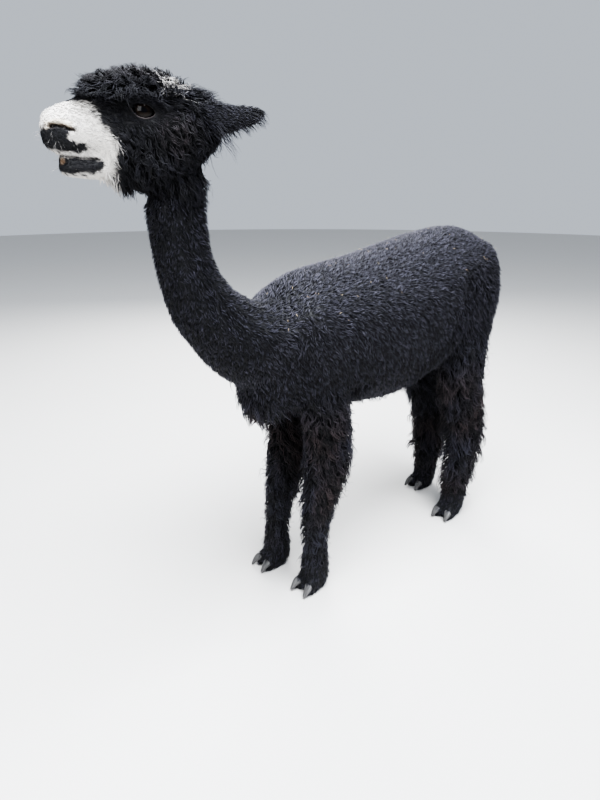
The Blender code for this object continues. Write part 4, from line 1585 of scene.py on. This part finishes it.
def toenail(name):
    bm = bmesh.new()
    bm.from_mesh(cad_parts[name].data)
    bmesh.ops.remove_doubles(bm, verts=bm.verts, dist=WELD)
    mesh = bpy.data.meshes.new(name + "_horn")
    bm.to_mesh(mesh)
    bm.free()
    mesh.materials.clear()
    shaped = (places(mesh) - middle(name)) * NAIL_BROADER
    shaped[:, 1] *= 1 - NAIL_NARROWS * ramp(shaped[:, 0], -0.002, 0.018)
    shaped += middle(name)
    shaped[:, 2] = np.maximum(shaped[:, 2], FLOOR_GAP)
    set_places(mesh, shaped)
    piece = add_piece(name + "_horn", mesh)
    rounding = piece.modifiers.new("rounding", "SUBSURF")
    rounding.levels = rounding.render_levels = 2
    piece.data = modified(piece)
    piece.modifiers.clear()
    piece.data.shade_smooth()
    return piece


nail_look, shader, start = look("nail", Roughness=0.42)
object_place = start.node("TexCoord", output=3)
ridges = start.node("VectorMath", {"operation": "MULTIPLY"}, {0: object_place, 1: HORN_RIDGES})
grain = start.node("TexNoise", {}, {"Vector": ridges, "Scale": 1.0, "Detail": 3.0})
feed(shader, "Base Color", grain.slope(0.3, 0.7).mix(HORN_DARK, HORN_PALE))
feed(shader, "Normal", start.node("Bump", {}, {"Strength": 0.4, "Distance": 0.0004, "Height": grain}))
nails = {name: toenail(name) for name in NAILS}
for piece in nails.values():
    piece.data.materials.append(nail_look)
print(len(nails), "nails")

# %% [markdown]
# ## Pieces shown in place of the solids
#
# The skin and the coat take the place of the fleshy solids, and the eyeballs that of the plain
# balls. The solids stay for contact, and the pieces here are only what is seen.

# %% Pieces and solids
bpy.data.meshes.remove(flesh)
for piece in (skin, *coat_pieces):
    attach(piece, "root")
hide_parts(*FLESH)
for side, piece in eyes.items():
    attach(piece, "root")
    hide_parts("eye_" + side)
for name, piece in nails.items():
    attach(piece, "root")
    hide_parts(name)
seen = (skin, *coat_pieces, *eyes.values(), *nails.values())
print(len(seen), "pieces,", sum(triangles(piece.data) for piece in seen), "triangles")

# %% [markdown]
# ## Floor, light and camera
#
# A pale floor and a pale world with one large soft lamp overhead show a black coat best. Small
# lamps would leave the lower half of it without any form.

# %% Floor and sky
FLOOR_REACH = 12
SKY_COLOUR = (0.80, 0.86, 0.95, 1)
SKY_STRENGTH = 0.58
floor_mesh = bpy.data.meshes.new("floor")
bm = bmesh.new()
bmesh.ops.create_circle(bm, cap_ends=True, segments=96, radius=FLOOR_REACH)
bm.to_mesh(floor_mesh)
bm.free()
floor = add_piece("floor", floor_mesh)
floor_look, shader, start = look("pale_floor", Roughness=0.9, Base_Color=(0.62, 0.61, 0.59, 1))
floor_mesh.materials.append(floor_look)

world = bpy.data.worlds.new("studio")
world.use_nodes = True
sky = world.node_tree.nodes["Background"]
sky.inputs["Color"].default_value = SKY_COLOUR
sky.inputs["Strength"].default_value = SKY_STRENGTH
bpy.context.scene.world = world
print("a floor of", 2 * FLOOR_REACH, "m")

# %% [markdown]
# The large lamp overhead is the open sky and gives the form. A weak one ahead of the animal
# lights its face, and the third keeps the far side from going black.


# %% Lamps
def lamp(name, place, aim, size, watts, colour=(1, 1, 1)):
    light = bpy.data.lights.new(name, "AREA")
    light.size = size
    light.energy = watts
    light.color = colour
    piece = bpy.data.objects.new(name, light)
    piece.location = place
    piece.rotation_euler = (Vector(aim) - Vector(place)).to_track_quat("-Z", "Y").to_euler()
    bpy.context.scene.collection.objects.link(piece)


lamp("sky_lamp", (0.2, 0.9, 3.3), (0, 0, 0.7), 2.4, 400, (0.92, 0.95, 1.0))
lamp("side_lamp", (2.8, 0.6, 1.8), (0.2, 0, 0.9), 1.6, 40)
lamp("far_lamp", (-1.6, -2.4, 2.4), (0, 0, 0.7), 2.0, 110)
print("lamps:", [lamp.name for lamp in bpy.data.lights])

# %% [markdown]
# The camera is held at a visitor's chest, a little over a metre from the animal's head, and
# looks down on it. So near, a wide lens is needed, and it makes the head large and the feet
# small.

# %% Camera
CAMERA_AT = (1.0978, 1.1317, 1.10)
LOOK_ALONG = (-0.653, -0.757, 0)
LOOK_DOWN = math.radians(20.5)
LENS_MM = 27.05

camera = bpy.data.cameras.new("camera")
camera.sensor_width = 36
camera.lens = LENS_MM
view = bpy.data.objects.new("camera", camera)
view.location = CAMERA_AT
level = unit(np.array(LOOK_ALONG))
direction = Vector(level * math.cos(LOOK_DOWN) - UP * math.sin(LOOK_DOWN))
view.rotation_euler = direction.to_track_quat("-Z", "Y").to_euler()
bpy.context.scene.collection.objects.link(view)
bpy.context.scene.camera = view
bpy.context.scene.view_settings.view_transform = "AgX"
bpy.context.scene.view_settings.look = "AgX - High Contrast"
to_head = Vector(HEAD) - Vector(CAMERA_AT)
print("the camera is", round(to_head.length, 2), "m from the head")

# %% [markdown]
